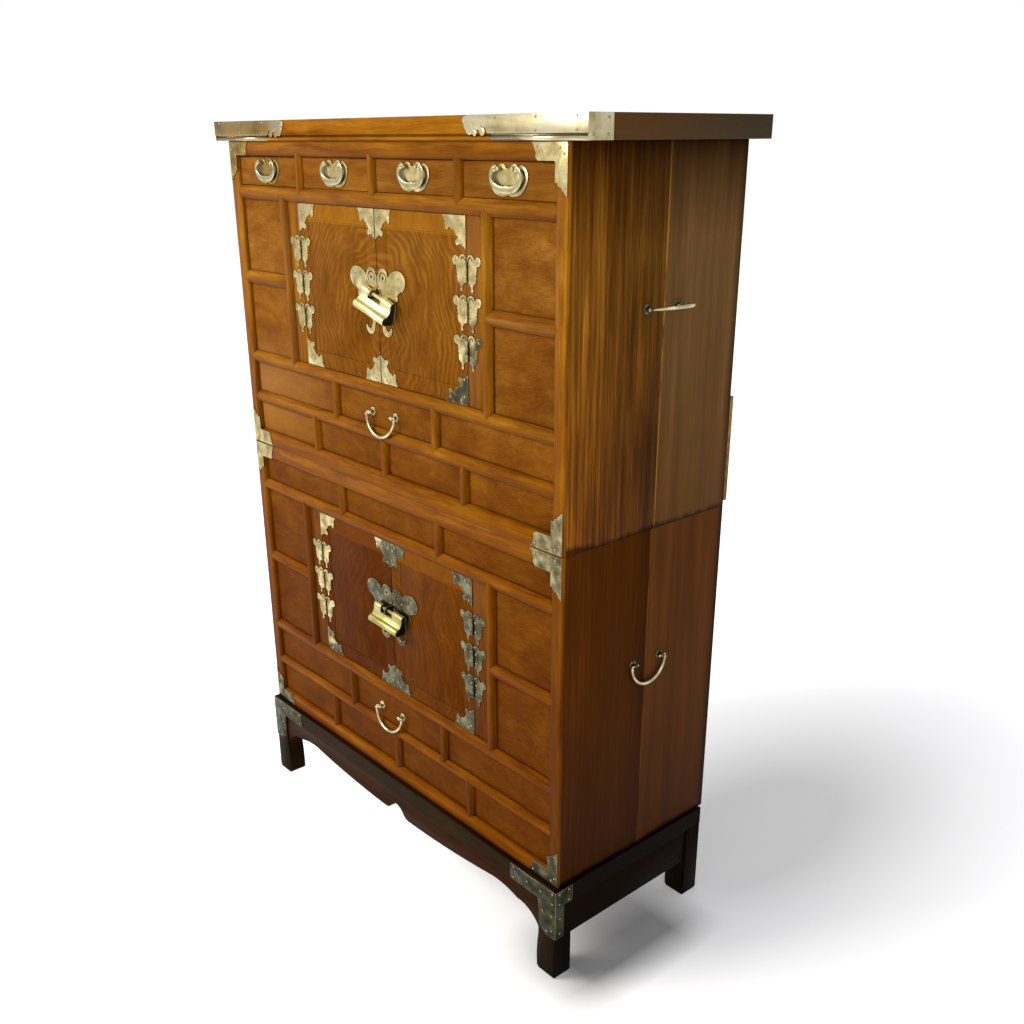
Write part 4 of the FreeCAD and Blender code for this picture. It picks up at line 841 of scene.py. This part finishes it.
lamp("key", (-1.9, -3.0, 3.1), (0.0, 0.0, 0.9), 1.8, 132, "#FFF6E8")
lamp("fill", (3.4, -1.6, 2.6), (0.2, 0.0, 0.9), 2.0, 18, "#FFF8F0")

world = bpy.data.worlds.new("studio")
bpy.context.scene.world = world
world.use_nodes = True
# A white studio that shows at full strength, is mirrored more softly, and lights the wood least
rays = add(world.node_tree, "ShaderNodeLightPath").outputs
mirrored_light = span(world.node_tree, rays["Is Glossy Ray"], 0.0, 1.0, 1.0, 0.62)
soft_light = span(world.node_tree, rays["Is Diffuse Ray"], 0.0, 1.0, 1.0, 0.4)
strength = add(world.node_tree, "ShaderNodeMath", {0: mirrored_light, 1: soft_light}, operation="MULTIPLY")
world.node_tree.links.new(strength.outputs[0], world.node_tree.nodes["Background"].inputs["Strength"])
world.node_tree.nodes["Background"].inputs["Color"].default_value = linear("#FFFFFF")
bpy.context.scene.view_settings.view_transform = "Standard"

# Pale studio floor, matt, slightly cool against the warm light
floor_paint, tree, shader = new_material("studio_floor_matt_paint")
place = add(tree, "ShaderNodeTexCoord").outputs["Object"]
grain = add(tree, "ShaderNodeTexNoise", {"Vector": place, "Scale": 3.0})
paint = ramp(tree, grain.outputs["Fac"], ((0.0, "#EEF1F6"), (1.0, "#F2F5FA")))
# It glows white all round, so that no line parts it from the background, except at the right of the
# chest and behind it, where leaving out the glow paints in a soft shadow
parts = add(tree, "ShaderNodeSeparateXYZ", {0: place})
shadow_middle = (0.42, 0.42, 0.0)
away = add(tree, "ShaderNodeVectorMath", {0: place, 1: shadow_middle}, operation="SUBTRACT").outputs[0]
away = add(tree, "ShaderNodeVectorMath", {0: away, 1: (1.0, 0.5, 0.0)}, operation="MULTIPLY").outputs[0]
away = add(tree, "ShaderNodeVectorMath", {0: away}, operation="LENGTH").outputs["Value"]
glow = sums(tree, span(tree, away, 0.12, 0.31, 0.2, 0.48), span(tree, away, 0.31, 0.75, 0.0, 0.45))
# A painted shadow: a strip beside the stand's right end is darker, in colour and in glow
beside = add(tree, "ShaderNodeMath", {0: parts.outputs["Y"], 1: -0.04}, operation="SUBTRACT").outputs[0]
beside = add(tree, "ShaderNodeMath", {0: beside}, operation="ABSOLUTE").outputs[0]
beside = span(tree, beside, 0.1, 0.2, 1.0, 0.0)
near = add(tree, "ShaderNodeMath", {0: parts.outputs["X"], 1: 0.49}, operation="SUBTRACT").outputs[0]
near = span(tree, near, 0.01, 0.08, 1.0, 0.0)
inner = span(tree, parts.outputs["X"], 0.3, 0.45)
near = add(tree, "ShaderNodeMath", {0: near, 1: inner}, operation="MULTIPLY").outputs[0]
painted_shadow_strip = add(tree, "ShaderNodeMath", {0: beside, 1: near}, operation="MULTIPLY").outputs[0]
tree.links.new(blend(tree, "MULTIPLY", painted_shadow_strip, paint, "#CCCCCC"), shader.inputs["Base Color"])
lit = sums(tree, glow, add(tree, "ShaderNodeMath", {0: glow, 1: painted_shadow_strip}, operation="MULTIPLY").outputs[0], -1.0)
# The glow is at full strength for the eye, and half of it lights and mirrors in the chest
seen = span(tree, add(tree, "ShaderNodeLightPath").outputs["Is Camera Ray"], 0.0, 1.0, 0.5, 1.0)
lit = add(tree, "ShaderNodeMath", {0: lit, 1: seen}, operation="MULTIPLY").outputs[0]
tree.links.new(lit, shader.inputs["Emission Strength"])
shader.inputs["Roughness"].default_value = 0.9
shader.inputs["Emission Color"].default_value = linear("#FFFFFF")
floor_mesh = bpy.data.meshes.new("floor")
reach = 12.0
floor_corners = [(-reach, -reach, 0), (reach, -reach, 0), (reach, reach, 0), (-reach, reach, 0)]
floor_mesh.from_pydata(floor_corners, [], [(0, 1, 2, 3)])
floor_mesh.materials.append(floor_paint)
floor = bpy.data.objects.new("floor", floor_mesh)
bpy.context.scene.collection.objects.link(floor)

# The camera stands before the chest at its right, a little below its top
camera_place = (1.5052, -1.20705, 1.3406)
yaw, pitch, roll = (math.radians(a) for a in (-48.98, -21.55, -0.3))
look = Vector((math.sin(yaw) * math.cos(pitch), math.cos(yaw) * math.cos(pitch), math.sin(pitch)))
level = Vector((math.cos(yaw), -math.sin(yaw), 0.0))
rise = level.cross(look)
across = math.cos(roll) * level + math.sin(roll) * rise
up = -math.sin(roll) * level + math.cos(roll) * rise
camera_data = bpy.data.cameras.new("camera")
camera_data.lens = 38.10
camera_data.sensor_width = 36.0
camera_data.shift_x = 0.00645
camera_data.shift_y = 0.0512
camera = bpy.data.objects.new("camera", camera_data)
turn = Matrix((across, up, -look)).transposed().to_4x4()
camera.matrix_world = Matrix.Translation(camera_place) @ turn
bpy.context.scene.collection.objects.link(camera)
bpy.context.scene.camera = camera
